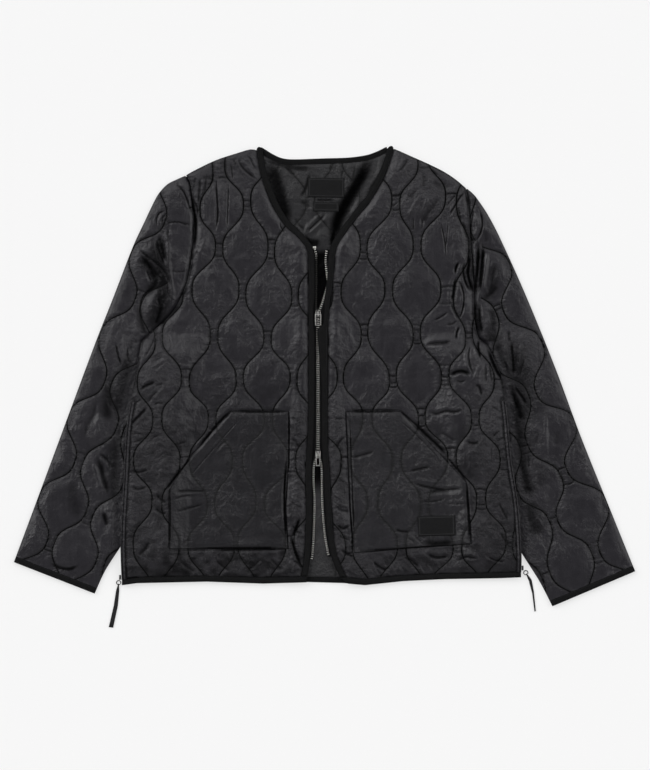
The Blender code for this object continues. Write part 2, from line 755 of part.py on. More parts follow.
def tube_row(y, low, high, closed, top_line, levels, inset):
    """One row of a flat tube from its upper line; levels are its lower side, floor and ceiling."""
    rest, floor_z, ceiling_z = levels
    middle = 0.5 * (floor_z + ceiling_z)
    upper = [(low, y, middle, top_line[0][1])] + [(x, y, z, p) for x, p, z in top_line[1:-1]]
    last_x, last_place, last_z = top_line[-1]
    upper.append((last_x, y, middle if closed else last_z, last_place))
    span = high - low
    lower = [(low, y, middle, 0.0), (low + min(2.5, 0.2 * span), y, rest, 0.1)]
    if closed:
        lower += [(high - min(2.5, 0.2 * span), y, rest, 0.9), (high, y, middle, 1.0)]
    else:
        lower += [(high, y, rest, 1.0)]
    inner_high = high - inset if closed else high
    inner = [low + inset, 0.5 * (low + inset + inner_high), inner_high]
    ceiling = []
    floor = []
    for number, x in enumerate(inner):
        joined = number == 0 or (closed and number == 2)
        ceiling.append((x, y, middle if joined else ceiling_z, number / 2.0))
        floor.append((x, y, middle if joined else floor_z, number / 2.0))
    return upper, lower, ceiling, floor, closed


def make_sleeve(side, collection):
    name = "sleeve_" + side
    sleeve = SLEEVE_LEFT if side == "left" else SLEEVE_RIGHT
    quilt = QUILT[name]
    first = sleeve["outer"][0][1] + 4.0
    seam = [along for _, along in ARMHOLES[sleeve["turn"]][::2]]
    armpit = ARMHOLES[sleeve["turn"]][-1][1]
    last = sleeve["outer"][-1][1] - BINDING_WIDTH - GAP
    rows = []
    for y in rows_between(first, last, quilt["period"], quilt["crest"], seam + [first + 8.0]):
        low, high, closed = sleeve_sides(sleeve, y)
        inset = min(SLEEVE_WALL + 0.6, 0.3 * (high - low))
        columns = quilt_columns(quilt, low, high, y, 5.0)
        edges = [low + min(2.0, 0.12 * (high - low))]
        if closed:
            edges.append(high - 2.0)
        line = [(low, quilt_place(quilt, low, y))]
        line.append((edges[0], quilt_place(quilt, edges[0], y)))
        line += columns
        if closed:
            line.append((edges[1], quilt_place(quilt, edges[1], y)))
        line.append((high, quilt_place(quilt, high, y)))
        top_line = [(x, place, sleeve_top(name, sleeve, x, y)) for x, place in line]
        row = tube_row(y, low, high, closed, top_line,
                       (0.0, SLEEVE_WALL, SLEEVE_WALL + SLEEVE_HOLLOW), inset)
        if y == armpit:
            row = tube_row(y, low, high, False, top_line,
                           (0.0, SLEEVE_WALL, SLEEVE_WALL + SLEEVE_HOLLOW), inset)
            row = open_end(row, high - inset)
        rows.append(row)
    return tube(name, rows, NYLON, collection, sleeve_place(sleeve))


def open_end(row, inner_high):
    """The armhole's last row, whose hollow already ends inside the fold that starts there."""
    upper, lower, ceiling, floor, closed = row
    ceiling = ceiling[:-1] + [(inner_high, ceiling[-1][1], ceiling[-1][2], 1.0)]
    floor = floor[:-1] + [(inner_high, floor[-1][1], floor[-1][2], 1.0)]
    return upper, lower, ceiling, floor, closed


def make_cuff(side, collection):
    """The cuff's binding: a short flat tube past the sleeve's end."""
    sleeve = SLEEVE_LEFT if side == "left" else SLEEVE_RIGHT
    last = sleeve["outer"][-1][1]
    rows = []
    for back, swell in ((BINDING_WIDTH, 0.9), (0.75 * BINDING_WIDTH, 1.0), (0.25 * BINDING_WIDTH, 1.0),
                        (0.0, 0.72)):
        y = last - back
        low, high, closed = sleeve_sides(sleeve, y)
        span = high - low
        height = 7.4 * swell
        line = []
        for part in (0.0, 0.015, 0.06, 0.2, 0.35, 0.5, 0.65, 0.8, 0.94, 0.985, 1.0):
            level = height if 0.05 < part < 0.95 else 0.82 * height
            line.append((low + part * span, part, level))
        rest = 0.0 if swell > 0.8 else 0.8
        rows.append(tube_row(y, low, high, True, line,
                             (rest, SLEEVE_WALL, SLEEVE_WALL + SLEEVE_HOLLOW), SLEEVE_WALL + 0.6))
    return tube("binding_cuff_" + side, rows, TAPE, collection, sleeve_place(sleeve))


# Bindings
def edge_binding(side, collection):
    """Neck edge and front edge in one length, from the shoulder down to the hem."""
    edge = FRONT_EDGE_LEFT if side == "left" else FRONT_EDGE_RIGHT
    inward = -1.0 if side == "left" else 1.0
    path = []
    rows = front_rows(side)
    plain = [y for y in rows if -230.0 < y < 100.0]
    for y in [*[y for y in rows if y not in plain[::2]], edge[-1][1]]:
        x = edge_x([edge], y)
        inner = x + inward * slope_step([edge], y, BINDING_WIDTH - GAP)
        low = front_base(x + inward * 5.0, y)
        path.append(((x, y + hem_wave(x, y)), (inner, y + hem_wave(inner, y)), low, low + BINDING_THICKNESS))
    return bead("binding_edge_" + side, path, TAPE, collection)


def hem_binding(name, low_x, high_x, level, thickness, collection, round_end=0.0):
    """Hem binding between two x places, its low end rounded up by round_end."""
    rows = []
    for x in sorted([low_x, high_x, low_x + 3.0, low_x + 7.0, low_x + 13.0, *wave_columns(low_x, high_x)]):
        corner = round_end * (1.0 - ease((x - low_x) / 13.0))
        rest = level(x, HEM_Y + 5.0)
        inner_y = HEM_Y + BINDING_WIDTH
        rows.append(((x, HEM_Y + straight(HEM_WAVE, x) + corner), (x, inner_y + hem_wave(x, inner_y)),
                     rest, rest + thickness))
    return bead(name, rows, TAPE, collection)


def make_hem_bindings(collection):
    left_low = edge_x([SIDE_LEFT], HEM_Y) + 0.4
    left_high = edge_x([FRONT_EDGE_LEFT], HEM_Y) - 0.4
    right_low = edge_x([FRONT_EDGE_RIGHT], HEM_Y + BINDING_WIDTH) + 0.6
    right_high = edge_x([SIDE_RIGHT], HEM_Y) - 0.4
    hem_binding("binding_hem_left", left_low, left_high, front_base, BINDING_THICKNESS, collection)
    hem_binding("binding_hem_right", right_low, right_high, front_base, BINDING_THICKNESS, collection, 8.5)
    hem_binding("binding_hem_back", left_low, right_high, side_lift, BACK_WALL, collection)


def make_neck_binding(collection):
    """Binding of the back's neck edge, from shoulder to shoulder."""
    path = []
    points = [Vector(point) for point in BACK_NECK]
    for number, point in enumerate(points):
        before = points[max(number - 1, 0)]
        after = points[min(number + 1, len(points) - 1)]
        tangent = (after - before).normalized()
        inner = point + Vector((tangent.y, -tangent.x)) * (BINDING_WIDTH - 1.2)
        path.append(((point.x, point.y), (inner.x, inner.y), 0.0, BACK_WALL))
    return bead("binding_neck_back", path, TAPE, collection)


def make_vent(side, collection):
    """Side vent: bindings of its two edges with the zip between them, up from the hem."""
    outline = SIDE_LEFT if side == "left" else SIDE_RIGHT
    inward = 1.0 if side == "left" else -1.0
    heights = [y for y in front_rows(side) if PANEL_BOTTOM_Y < y < VENT_TOP_Y]
    heights = [PANEL_BOTTOM_Y + 0.6, *heights[::2], VENT_TOP_Y - 2.0]
    front = []
    back = []
    for y in heights:
        x = follow(outline, y)
        inner = x + inward * VENT_BINDING_WIDTH
        low = front_base(x + inward * 4.0, y)
        rest = side_lift(x, y)
        y += hem_wave(x, y)
        front.append(((x, y), (inner, y), low, low + 3.4))
        back.append(((x + inward * 0.4, y), (inner - inward * GAP, y), rest, rest + BACK_WALL))
    bead("binding_vent_front_" + side, front, TAPE, collection)
    bead("binding_vent_back_" + side, back, TAPE, collection)
    path = []
    sides = []
    for y in heights:
        x = follow(outline, y) + inward * 4.3
        level = back_top(x, y) + GAP + 1.15
        path.append((x, y + hem_wave(x, y), level))
        sides.append((Vector((3.4, 0, 0)), Vector((0, 0, 0.75))))
    band("vent_zip_" + side, path, sides, METAL, collection)


def box_solid(name, size, centre, finish, collection):
    bpy.ops.mesh.primitive_cube_add(size=1.0, location=[value * MM for value in centre])
    thing = bpy.context.active_object
    thing.name = name
    thing.scale = [value * MM for value in size]
    bpy.ops.object.transform_apply(location=False, rotation=False, scale=True)
    return dress(thing, finish, collection)


def join_solids(name, pieces):
    """One body from several overlapping solids, by Boolean union."""
    base = pieces[0]
    for other in pieces[1:]:
        union = base.modifiers.new("join", 'BOOLEAN')
        union.operation = 'UNION'
        union.object = other
        bpy.context.view_layer.objects.active = base
        bpy.ops.object.modifier_apply(modifier=union.name)
        bpy.data.objects.remove(other, do_unlink=True)
    base.name = name
    return base


def make_vent_pull(side, collection):
    """Slider at the vent's foot with its ring and a doubled ribbon, lying where they fell."""
    vent = VENT_LEFT if side == "left" else VENT_RIGHT
    sx, sy = vent["slider"]
    box_solid("vent_slider_" + side, VENT_SLIDER_SIZE, (sx, sy, 2.6), METAL, collection)
    rx, ry = vent["ring"]
    bpy.ops.mesh.primitive_torus_add(major_radius=RING_RADIUS * MM, minor_radius=RING_WIRE * MM,
                                     major_segments=14, minor_segments=6,
                                     location=(rx * MM, ry * MM, (RING_WIRE + 1.0) * MM))
    ring = bpy.context.active_object
    ring.name = "vent_ring_" + side
    dress(ring, METAL, collection)
    make_ribbon(side, vent, collection)


def make_ribbon(side, vent, collection):
    """A ribbon doubled round the ring's wire: up the lower layer, round the wire, down the upper."""
    ring = Vector((*vent["ring"], 0.0))
    route = [Vector((x, y, 0.0)) for x, y in vent["ribbon"]]
    direction = (route[0] - ring).normalized()
    route.insert(0, ring + direction * RING_RADIUS)
    low_z = 0.5 * RIBBON_THICKNESS
    wire_z = RING_WIRE + 1.0
    turn = RING_WIRE + GAP + 0.5 * RIBBON_THICKNESS
    path = []
    sides = []
    wide = Vector((direction.y, -direction.x, 0.0)) * 0.5 * RIBBON_WIDTH
    narrow = 0.28 * wide
    flat = Vector((0, 0, 0.5 * RIBBON_THICKNESS))
    for number in range(len(route) - 1, 0, -1):
        path.append(route[number] + Vector((0, 0, low_z)))
        sides.append((wide, flat))
    centre = route[0] + Vector((0, 0, wire_z))
    for angle in (-102, -68, -34, 0, 34, 68, 102):
        spoke = -direction * math.cos(math.radians(angle)) + Vector((0, 0, math.sin(math.radians(angle))))
        path.append(centre + spoke * turn)
        sides.append((narrow, -spoke * 0.5 * RIBBON_THICKNESS))
    for number in range(1, len(route)):
        path.append(route[number] + Vector((0, 0, low_z + RIBBON_THICKNESS + 0.5)))
        sides.append((wide, -flat))
    band("vent_ribbon_" + side, path, sides, TAPE, collection)


# Main zip
def chain_x(side, y):
    return follow(CHAIN_LEFT if side == "left" else CHAIN_RIGHT, y)


def make_zip(side, collection):
    """One half of the zip: the row of teeth as a strip, and its tape under the front's edge."""
    chain = CHAIN_LEFT if side == "left" else CHAIN_RIGHT
    outward = -1.0 if side == "left" else 1.0
    low_y, high_y = chain[0][1], chain[-1][1]
    heights = [low_y, -262, -246, -229, -205, -181, -165, -149, -137, -125, -117, -110, -104, -98, -50,
               0, 50, 98, 105, 112, 118, 124, 131, 140, 148, 157, 167, 179, 192, 206, high_y]
    heights = [y for y in heights if low_y <= y <= high_y]
    teeth = []
    tape = []
    teeth_sides = []
    tape_sides = []
    for y in heights:
        x = chain_x(side, y)
        slope = (chain_x(side, y + 2) - chain_x(side, y - 2)) / 4.0
        across = Vector((1.0, -slope, 0.0)).normalized()
        teeth.append((x, y, 0.5 * sum(CHAIN_LEVELS)))
        teeth_sides.append((across * 0.5 * CHAIN_HALF_WIDTH,
                            Vector((0, 0, 0.5 * (CHAIN_LEVELS[1] - CHAIN_LEVELS[0])))))
        near = 0.5 * CHAIN_HALF_WIDTH + GAP
        centre = Vector((x, y, 0.5 * sum(TAPE_LEVELS))) + across * outward * (near + 0.5 * TAPE_WIDTH)
        tape.append(tuple(centre))
        tape_sides.append((across * 0.5 * TAPE_WIDTH,
                           Vector((0, 0, 0.5 * (TAPE_LEVELS[1] - TAPE_LEVELS[0])))))
    band("zip_chain_" + side, teeth, teeth_sides, METAL, collection)
    band("zip_tape_" + side, tape, tape_sides, TAPE, collection)


def make_slider(name, place, mouth, collection):
    """A zip slider: two plates joined by a wedge at its mouth, with a low arch for the pull."""
    x, y = place
    bottom = CHAIN_LEVELS[0] - GAP - SLIDER_PLATE
    top = CHAIN_LEVELS[1] + GAP
    length = SLIDER_LENGTH
    lower = box_solid(name, (SLIDER_WIDTH, length, SLIDER_PLATE), (x, y, bottom + 0.5 * SLIDER_PLATE),
                      METAL, collection)
    upper = box_solid("plate", (SLIDER_WIDTH, length, SLIDER_PLATE), (x, y, top + 0.5 * SLIDER_PLATE),
                      METAL, collection)
    height = top - bottom + SLIDER_PLATE
    wedge = box_solid("wedge", (0.8, 2.4, height - 0.4), (x, y + mouth * (0.5 * length - 1.5),
                      bottom + 0.5 * height), METAL, collection)
    pieces = [lower, upper, wedge]
    deck = top + SLIDER_PLATE
    for end in (-1, 1):
        pieces.append(box_solid("leg", (2.0, 1.4, 2.4), (x, y + end * 3.6, deck + 0.9), METAL, collection))
    pieces.append(box_solid("arch", (1.8, 8.4, 0.9), (x, y, deck + 2.3), METAL, collection))
    return join_solids(name, pieces)


def pull_axis_level():
    return CHAIN_LEVELS[1] + GAP + SLIDER_PLATE + GAP + 0.5 * PULL_THICKNESS


def make_pull(name, place, width, length, hole, collection):
    """A pull tab lying toward the hem: an eye round the slider's arch and a long loop below."""
    x, y = place
    level = pull_axis_level()
    end = y + 0.5 * PULL_BAR
    plate = box_solid(name, (width, length, PULL_THICKNESS), (x, end - 0.5 * length, level), METAL,
                      collection)
    eye_width, eye_length = PULL_EYE
    eye = box_solid("eye", (eye_width, eye_length, 3.0), (x, end - PULL_BAR - 0.5 * eye_length, level),
                    METAL, collection)
    hole_width, hole_from, hole_to = hole
    slot = box_solid("slot", (hole_width, hole_to - hole_from, 3.0),
                     (x, end - 0.5 * (hole_from + hole_to), level), METAL, collection)
    for cutter in (eye, slot):
        cut = plate.modifiers.new("cut", 'BOOLEAN')
        cut.operation = 'DIFFERENCE'
        cut.object = cutter
        bpy.context.view_layer.objects.active = plate
        bpy.ops.object.modifier_apply(modifier=cut.name)
        bpy.data.objects.remove(cutter, do_unlink=True)
    bevel = plate.modifiers.new("soft edges", 'BEVEL')
    bevel.width = 0.25 * MM
    bevel.segments = 1
    bevel.limit_method = 'ANGLE'
    return plate


# Labels
def make_label(name, label, level, collection):
    """A woven label lying on what carries it: a thin slab whose underside follows that surface."""
    cx, cy = label["centre"]
    w, h = label["size"]
    turn = Matrix.Rotation(math.radians(label["tilt"]), 2)
    rows = []
    for v in (-0.5, -0.25, 0.0, 0.25, 0.5):
        upper = []
        lower = []
        for u in (-0.5, -0.3, -0.1, 0.1, 0.3, 0.5):
            spot = Vector((cx, cy)) + turn @ Vector((u * w, v * h))
            rest = level(spot.x, spot.y)
            upper.append((spot.x, spot.y, rest + LABEL_THICKNESS, u))
            lower.append((spot.x, spot.y, rest, u))
        rows.append((upper, lower))
    return slab(name, rows, WOVEN, collection)


def make_labels(collection):
    make_label("neck_label", NECK_LABEL, lambda x, y: BACK_WALL + GAP, collection)
    make_label("size_label", SIZE_LABEL, lambda x, y: BACK_WALL + GAP, collection)
    make_label("pocket_label", POCKET_LABEL, lambda x, y: pocket_top("right", x, y) + 0.8, collection)


def main():
    clear_scene()
    collection = bpy.data.collections.new("quilted_field_jacket")
    bpy.context.scene.collection.children.link(collection)
    make_back(collection)
    for side in ("left", "right"):
        make_front(side, collection)
        make_sleeve(side, collection)
        make_cuff(side, collection)
        make_pocket(side, collection)
        edge_binding(side, collection)
        make_vent(side, collection)
        make_vent_pull(side, collection)
        make_zip(side, collection)
    make_hem_bindings(collection)
    make_neck_binding(collection)
    make_slider("slider_upper", SLIDER_UPPER, 1, collection)
    make_slider("slider_lower", SLIDER_LOWER, -1, collection)
    make_pull("pull_upper", SLIDER_UPPER, 6.6, 23.0, (3.4, 7.4, 21.2), collection)
    make_pull("pull_lower", SLIDER_LOWER, 7.0, 20.0, (4.4, 7.4, 18.4), collection)
    make_labels(collection)


main()
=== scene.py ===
import json
import math

import bmesh
import bpy
import numpy as np
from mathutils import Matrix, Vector

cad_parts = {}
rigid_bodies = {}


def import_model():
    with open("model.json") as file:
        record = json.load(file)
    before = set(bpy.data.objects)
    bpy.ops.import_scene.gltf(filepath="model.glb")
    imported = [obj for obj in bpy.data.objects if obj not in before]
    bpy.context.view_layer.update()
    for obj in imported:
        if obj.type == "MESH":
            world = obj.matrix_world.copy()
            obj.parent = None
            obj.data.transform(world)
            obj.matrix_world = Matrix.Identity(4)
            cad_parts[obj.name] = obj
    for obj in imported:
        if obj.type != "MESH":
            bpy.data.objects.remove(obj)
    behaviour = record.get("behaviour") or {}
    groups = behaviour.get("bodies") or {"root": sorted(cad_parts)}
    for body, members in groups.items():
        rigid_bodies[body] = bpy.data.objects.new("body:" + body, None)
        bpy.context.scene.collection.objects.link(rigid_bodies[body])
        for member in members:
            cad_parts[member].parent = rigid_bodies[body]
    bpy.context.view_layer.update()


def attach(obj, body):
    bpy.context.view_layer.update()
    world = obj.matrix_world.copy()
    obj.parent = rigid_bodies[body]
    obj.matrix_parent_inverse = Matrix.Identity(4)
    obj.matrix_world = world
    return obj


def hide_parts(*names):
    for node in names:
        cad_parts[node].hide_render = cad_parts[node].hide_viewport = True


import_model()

MM = 0.001


# Camera
# A long lens straight above the laid jacket, as a shop photographs clothes on a white table.
# The picture is 1.04 m wide at the table, and the jacket's middle is 4 mm above the picture's.
camera_height = 6.0
picture_width = 1.04
lens = bpy.data.cameras.new("camera")
lens.sensor_fit = 'HORIZONTAL'
lens.sensor_width = 36.0
lens.lens = lens.sensor_width * camera_height / picture_width
lens.clip_end = 50.0
camera = bpy.data.objects.new("camera", lens)
camera.location = (0.0008, 0.004, camera_height)
bpy.context.scene.collection.objects.link(camera)
bpy.context.scene.camera = camera


# Table and light
# A matt white table top. A wide soft light from the upper left, a weaker one from the right, and
# pale walls all round, so that the table is even and the cloth's folds turn from light to dark.
class Wire:
    """A value on its way through a material; sums, products and so on add the node that works them out."""

    def __init__(self, finish, socket):
        self.finish = finish
        self.socket = socket

    def maths(self, operation, *others):
        return self.finish.node('ShaderNodeMath', {"operation": operation}, [self, *others])

    def __add__(self, other):
        return self.maths('ADD', other)

    def __sub__(self, other):
        return self.maths('SUBTRACT', other)

    def __rsub__(self, other):
        return self.finish.node('ShaderNodeMath', {"operation": 'SUBTRACT'}, [other, self])

    def __mul__(self, other):
        return self.maths('MULTIPLY', other)

    def __truediv__(self, other):
        return self.maths('DIVIDE', other)

    def __abs__(self):
        return self.maths('ABSOLUTE')

    __radd__ = __add__
    __rmul__ = __mul__

    def part(self):
        return self.maths('FRACT')

    def sine(self):
        return self.maths('SINE')

    def least(self, other):
        return self.maths('MINIMUM', other)

    def most(self, other):
        return self.maths('MAXIMUM', other)

    def between(self, low, high, start=0.0, end=1.0):
        """start at low and before, end at high and after, smooth on the way."""
        return self.finish.node('ShaderNodeMapRange', {"interpolation_type": 'SMOOTHSTEP'},
                                {"Value": self, "From Min": low, "From Max": high, "To Min": start,
                                 "To Max": end})

    def bell(self, width):
        """1 at nothing, falling smoothly away on both sides over that width."""
        return abs(self).between(0.0, width, 1.0, 0.0)

    def stripes(self, period):
        """Soft stripes from 0 to 1, one in each period."""
        return (self * 6.2832 / period).sine() * 0.5 + 0.5


class Finish:
    """A material with one shader, its nodes added one by one."""

    def __init__(self, name, colour, roughness, **constants):
        self.material = bpy.data.materials.new(name)
        self.material.use_nodes = True
        self.tree = self.material.node_tree
        self.shader = self.tree.nodes["Principled BSDF"]
        self.shader.inputs["Roughness"].default_value = roughness
        self.shader.inputs["Base Color"].default_value = (*colour, 1.0)
        self.material.diffuse_color = (*colour, 1.0)
        for socket, value in constants.items():
            self.shader.inputs[socket.replace("_", " ")].default_value = value

    def node(self, kind, settings=None, values=(), output=0):
        """Adds a node: its settings first, then the values or links of its sockets."""
        made = self.tree.nodes.new(kind)
        for name, value in (settings or {}).items():
            setattr(made, name, value)
        for socket, value in values.items() if isinstance(values, dict) else enumerate(values):
            if isinstance(value, Wire):
                self.tree.links.new(value.socket, made.inputs[socket])
            elif value is not None:
                made.inputs[socket].default_value = value
        return Wire(self, made.outputs[output])

    def feed(self, socket, wire):
        self.tree.links.new(wire.socket, self.shader.inputs[socket])

    def place(self, scale=(1000.0, 1000.0, 1000.0)):
        """The point on the object, in millimetres unless scaled otherwise."""
        spot = self.node('ShaderNodeTexCoord', output="Object")
        return self.node('ShaderNodeMapping', None, {"Vector": spot, "Scale": scale})

    def parts(self, vector):
        split = self.node('ShaderNodeSeparateXYZ', None, [vector])
        return [Wire(self, socket) for socket in split.socket.node.outputs]

    def marks(self):
        """The three numbers that a cloth carries at each point."""
        # For quilted cloth the third number is painted shade.
        return self.parts(self.node('ShaderNodeAttribute', {"attribute_name": "quilt"}, output="Vector"))

    def join(self, x, y, z):
        return self.node('ShaderNodeCombineXYZ', None, [x, y, z])

    def noise(self, vector, scale, detail=2.0, roughness=0.5):
        return self.node('ShaderNodeTexNoise', None,
                         {"Vector": vector, "Scale": scale, "Detail": detail, "Roughness": roughness})

    def blend(self, factor, first, second):
        """From the first colour to the second as the factor goes from 0 to 1."""
        ends = [value if isinstance(value, Wire) else (*value, 1.0) for value in (first, second)]
        return self.node('ShaderNodeMix', {"data_type": 'RGBA'}, {0: factor, 6: ends[0], 7: ends[1]}, 2)

    def raised(self, height, distance_mm, strength=1.0, normal=None):
        """Small relief: the height, from 0 to 1, stands for that many millimetres."""
        return self.node('ShaderNodeBump', None, {"Height": height, "Distance": distance_mm * MM,
                                                  "Strength": strength, "Normal": normal})


table_paint = Finish("table_paint", (0.3, 0.3, 0.3), 0.9, Specular_IOR_Level=0.1,
                     Emission_Color=(1.0, 1.0, 1.0, 1.0), Emission_Strength=0.60)
grain = table_paint.noise(table_paint.place(), 0.4, 3.0)
table_paint.feed("Base Color", table_paint.blend(grain, (0.295, 0.295, 0.295), (0.305, 0.305, 0.305)))
bpy.ops.object.select_all(action='DESELECT')
bpy.ops.mesh.primitive_plane_add(size=14.0, location=(0, 0, -0.0006))
table = bpy.context.active_object
table.name = "table"
bpy.ops.object.transform_apply(location=True, rotation=True, scale=True)
table.data.materials.append(table_paint.material)

for name, power, spread, height, bearing in (("left_light", 2.1, 50.0, 40.0, 150.0),
                                             ("right_light", 1.5, 55.0, 38.0, 15.0),
                                             ("top_light", 0.7, 60.0, 42.0, 85.0),
                                             ("foot_light", 0.5, 60.0, 40.0, -100.0)):
    lamp = bpy.data.lights.new(name, 'SUN')
    lamp.energy = power
    lamp.angle = math.radians(spread)
    light = bpy.data.objects.new(name, lamp)
    up = math.radians(height)
    turn = math.radians(bearing)
    toward = Vector((math.cos(up) * math.cos(turn), math.cos(up) * math.sin(turn), math.sin(up)))
    light.rotation_mode = 'QUATERNION'
    light.rotation_quaternion = toward.to_track_quat('Z', 'Y')
    light.location = toward * 3.0
    bpy.context.scene.collection.objects.link(light)
walls = bpy.data.worlds.new("pale_walls")
walls.use_nodes = True
walls.node_tree.nodes["Background"].inputs["Color"].default_value = (1.0, 1.0, 1.0, 1.0)
walls.node_tree.nodes["Background"].inputs["Strength"].default_value = 0.12
bpy.context.scene.world = walls
bpy.context.scene.view_settings.view_transform = 'Standard'


# Back
# One quilted panel from the shoulders to the hem: nylon outside and inside with thin wadding between,
# stitched through in wavy lines. It lies on the table and carries everything else; its inside shows
# in the neck opening and between the zip's open ends, where shade is painted on it.
SIGN = {"left": -1.0, "right": 1.0}
HEM_Y = -312.6
BINDING_WIDTH = 10.0
VENT_BINDING_WIDTH = 8.0
GAP = 0.3
SEWN_IN = 1.6
PANEL_BOTTOM_Y = HEM_Y + BINDING_WIDTH + GAP
VENT_TOP_Y = -20.0
BACK_WALL = 3.2
BACK_TOP_Y = 378.5
LINE_SPACING = 43.0
PAIR_SPACING = 88.0
PLAIN_GAP = 74.0
NECK_HALF = 112.0
ZIP_TOP_Y = 225.0
SCATTER = 43758.5453
# The marks of a surface that has no quilting or needs none.
BARE = (0.0, 30.0, 0.0)


def points_of(*numbers):
    """x, y, x, y, ... in millimetres as a row of points."""
    return list(zip(numbers[::2], numbers[1::2]))


BODY_SIDE = dict(
    left=points_of(-324, -313, -325.6, -244, -320.8, -148, -316, -63, -304.8, 4, -292, 74),
    right=points_of(314.4, -313, 314.4, -263, 309.6, -190, 298.4, -114, 290.4, -33, 280.8, 22, 260, 68))
ARMHOLE = dict(
    left=points_of(-292, 74, -282.4, 84, -263.2, 100, -247.2, 115, -234.4, 134, -220, 169, -212, 212,
        -208, 265, -210.4, 290, -215.2, 327, -221.6, 339.2),
    right=points_of(260, 68, 247.2, 79, 240.5, 108, 239.2, 156, 236, 204, 232.8, 252, 231, 292,
        226.4, 318.4))
SHOULDER = dict(
    left=points_of(-221.6, 339.2, -210.4, 345.6, -172, 364, -135.2, 376, -106.4, 385),
    right=points_of(226.4, 318.4, 210.4, 332, 191.2, 344.8, 165.6, 357.6, 136.8, 370.4, 114.4, 380.5,
        101.6, 386.4))
FRONT_EDGE = dict(
    left=points_of(-28.5, -313, -26.6, -300, -22.6, -268, -20.6, -228, -19.6, -180, -20.6, -132, -17.6, -84,
        -15.8, -20, -15.8, 92, -16, 200, -19, 224, -33, 244, -52, 262, -67, 282, -80.8, 311, -93, 346,
        -99.5, 384.5),
    right=points_of(29.6, -313, 13.6, -279, 7.2, -252, 4, -228, -0.8, -146, -4.3, -84, -4, 92, -2.4, 124,
        0.8, 148, 4.8, 180, 6.4, 207, 11.2, 229, 25, 252, 43, 276, 64.8, 303, 83.5, 335, 95, 362,
        101.6, 386))
BACK_TOP_EDGE = points_of(-126, 378.6, -112, 378, -100, 371, -83, 362, -69, 356.6, -52, 354.7, 1, 356.3,
    39, 357.6, 68, 361.5, 84, 367, 97, 373, 108, 379, 120, 378)
HEM_WAVE = points_of(-324, -3.4, -300, -0.2, -188, 2.2, -98, -1, -26, 1.4, 31, -0.2, 65, -3.4, 126, 3,
    193, 6.2, 282, 7.8, 316, 9.4)


def ease(value):
    """0 below 0, 1 above 1, smooth between."""
    value = np.clip(value, 0.0, 1.0)
    return value * value * (3.0 - 2.0 * value)


def follow(points, at, key=1, value=0):
    """A smooth curve through points in rising order of their key coordinate, read at many keys."""
    keys = np.array([point[key] for point in points], float)
    values = np.array([point[value] for point in points], float)
    last = len(keys) - 1
    low = np.clip(np.arange(len(keys)) - 1, 0, last)
    high = np.clip(np.arange(len(keys)) + 1, 0, last)
    slopes = (values[high] - values[low]) / (keys[high] - keys[low])
    at = np.clip(at, keys[0], keys[-1])
    index = np.clip(np.searchsorted(keys, at, side='right') - 1, 0, last - 1)
    span = keys[index + 1] - keys[index]
    t = (at - keys[index]) / span
    return ((2 * t**3 - 3 * t**2 + 1) * values[index] + (t**3 - 2 * t**2 + t) * slopes[index] * span
            + (-2 * t**3 + 3 * t**2) * values[index + 1] + (t**3 - t**2) * slopes[index + 1] * span)


def straight(points, at, key=0, value=1):
    """Straight lines through points, read at many keys."""
    return np.interp(at, [point[key] for point in points], [point[value] for point in points])


def outline(stretches, y):
    """The x of an outline made of several smooth stretches, each starting where the last ends."""
    x = follow(stretches[-1], y)
    for stretch in reversed(stretches[:-1]):
        x = np.where(y <= stretch[-1][1], follow(stretch, y), x)
    return x


def slope_step(stretches, y, width):
    """The step in x that gives an outline a border of that width."""
    slope = (outline(stretches, y + 2.0) - outline(stretches, y - 2.0)) / 4.0
    return width * np.sqrt(1.0 + np.minimum(np.abs(slope), 3.0)**2)


def side_of(x, y):
    """How far inside the jacket's side a point lies."""
    return np.where(x < 0, x - follow(BODY_SIDE["left"], y), follow(BODY_SIDE["right"], y) - x)


def side_lift(x, y):
    """How far the body is raised where it lies over the hidden inner part of a sleeve."""
    up = ease((90.0 - y) / 42.0) * ease((y - HEM_Y + 2.0) / 40.0)
    return 7.6 * up * (1.0 - ease((side_of(x, y) - 72.0) / 42.0))


def zip_rise(x, y):
    """How far the fronts are raised beside the zip, which lies under their edges."""
    low, high = (outline([FRONT_EDGE[side]], np.minimum(y, ZIP_TOP_Y)) for side in SIGN)
    beside = np.where(x < 0.5 * (low + high), low - x, x - high)
    return 4.0 * (1.0 - ease((beside - 16.0) / 34.0)) * (1.0 - ease((y - ZIP_TOP_Y) / 45.0))


def vent_rise(x, y):
    """How far a front is raised beside its vent."""
    return 1.9 * (1.0 - ease((side_of(x, y) - 9.0) / 22.0)) * (1.0 - ease((y - VENT_TOP_Y) / 20.0))


def front_base(x, y):
    """The level that the fronts rest on."""
    lift = side_lift(x, y)
    return BACK_WALL + 0.4 + 0.8 * ease(lift / 1.5) + lift + np.maximum(zip_rise(x, y), vent_rise(x, y))


def hem_wave(x, y):
    """The hem's gentle rise and fall, fading out above the hem."""
    return straight(HEM_WAVE, x) * (1.0 - ease((y - HEM_Y) / 60.0))


def body_side(side, y):
    """The body panels' edge at the side, armhole and shoulder, inside the vent's binding."""
    armhole = ARMHOLE[side]
    body = [BODY_SIDE[side], armhole, SHOULDER[side]]
    vent = (VENT_BINDING_WIDTH + GAP - SEWN_IN) * (1.0 - ease((y - VENT_TOP_Y) / 8.0))
    sewn = np.where((y > armhole[0][1]) & (y < armhole[-1][1]), slope_step(body, y, GAP), 0.0)
    return outline(body, y) - SIGN[side] * np.maximum(vent, sewn)


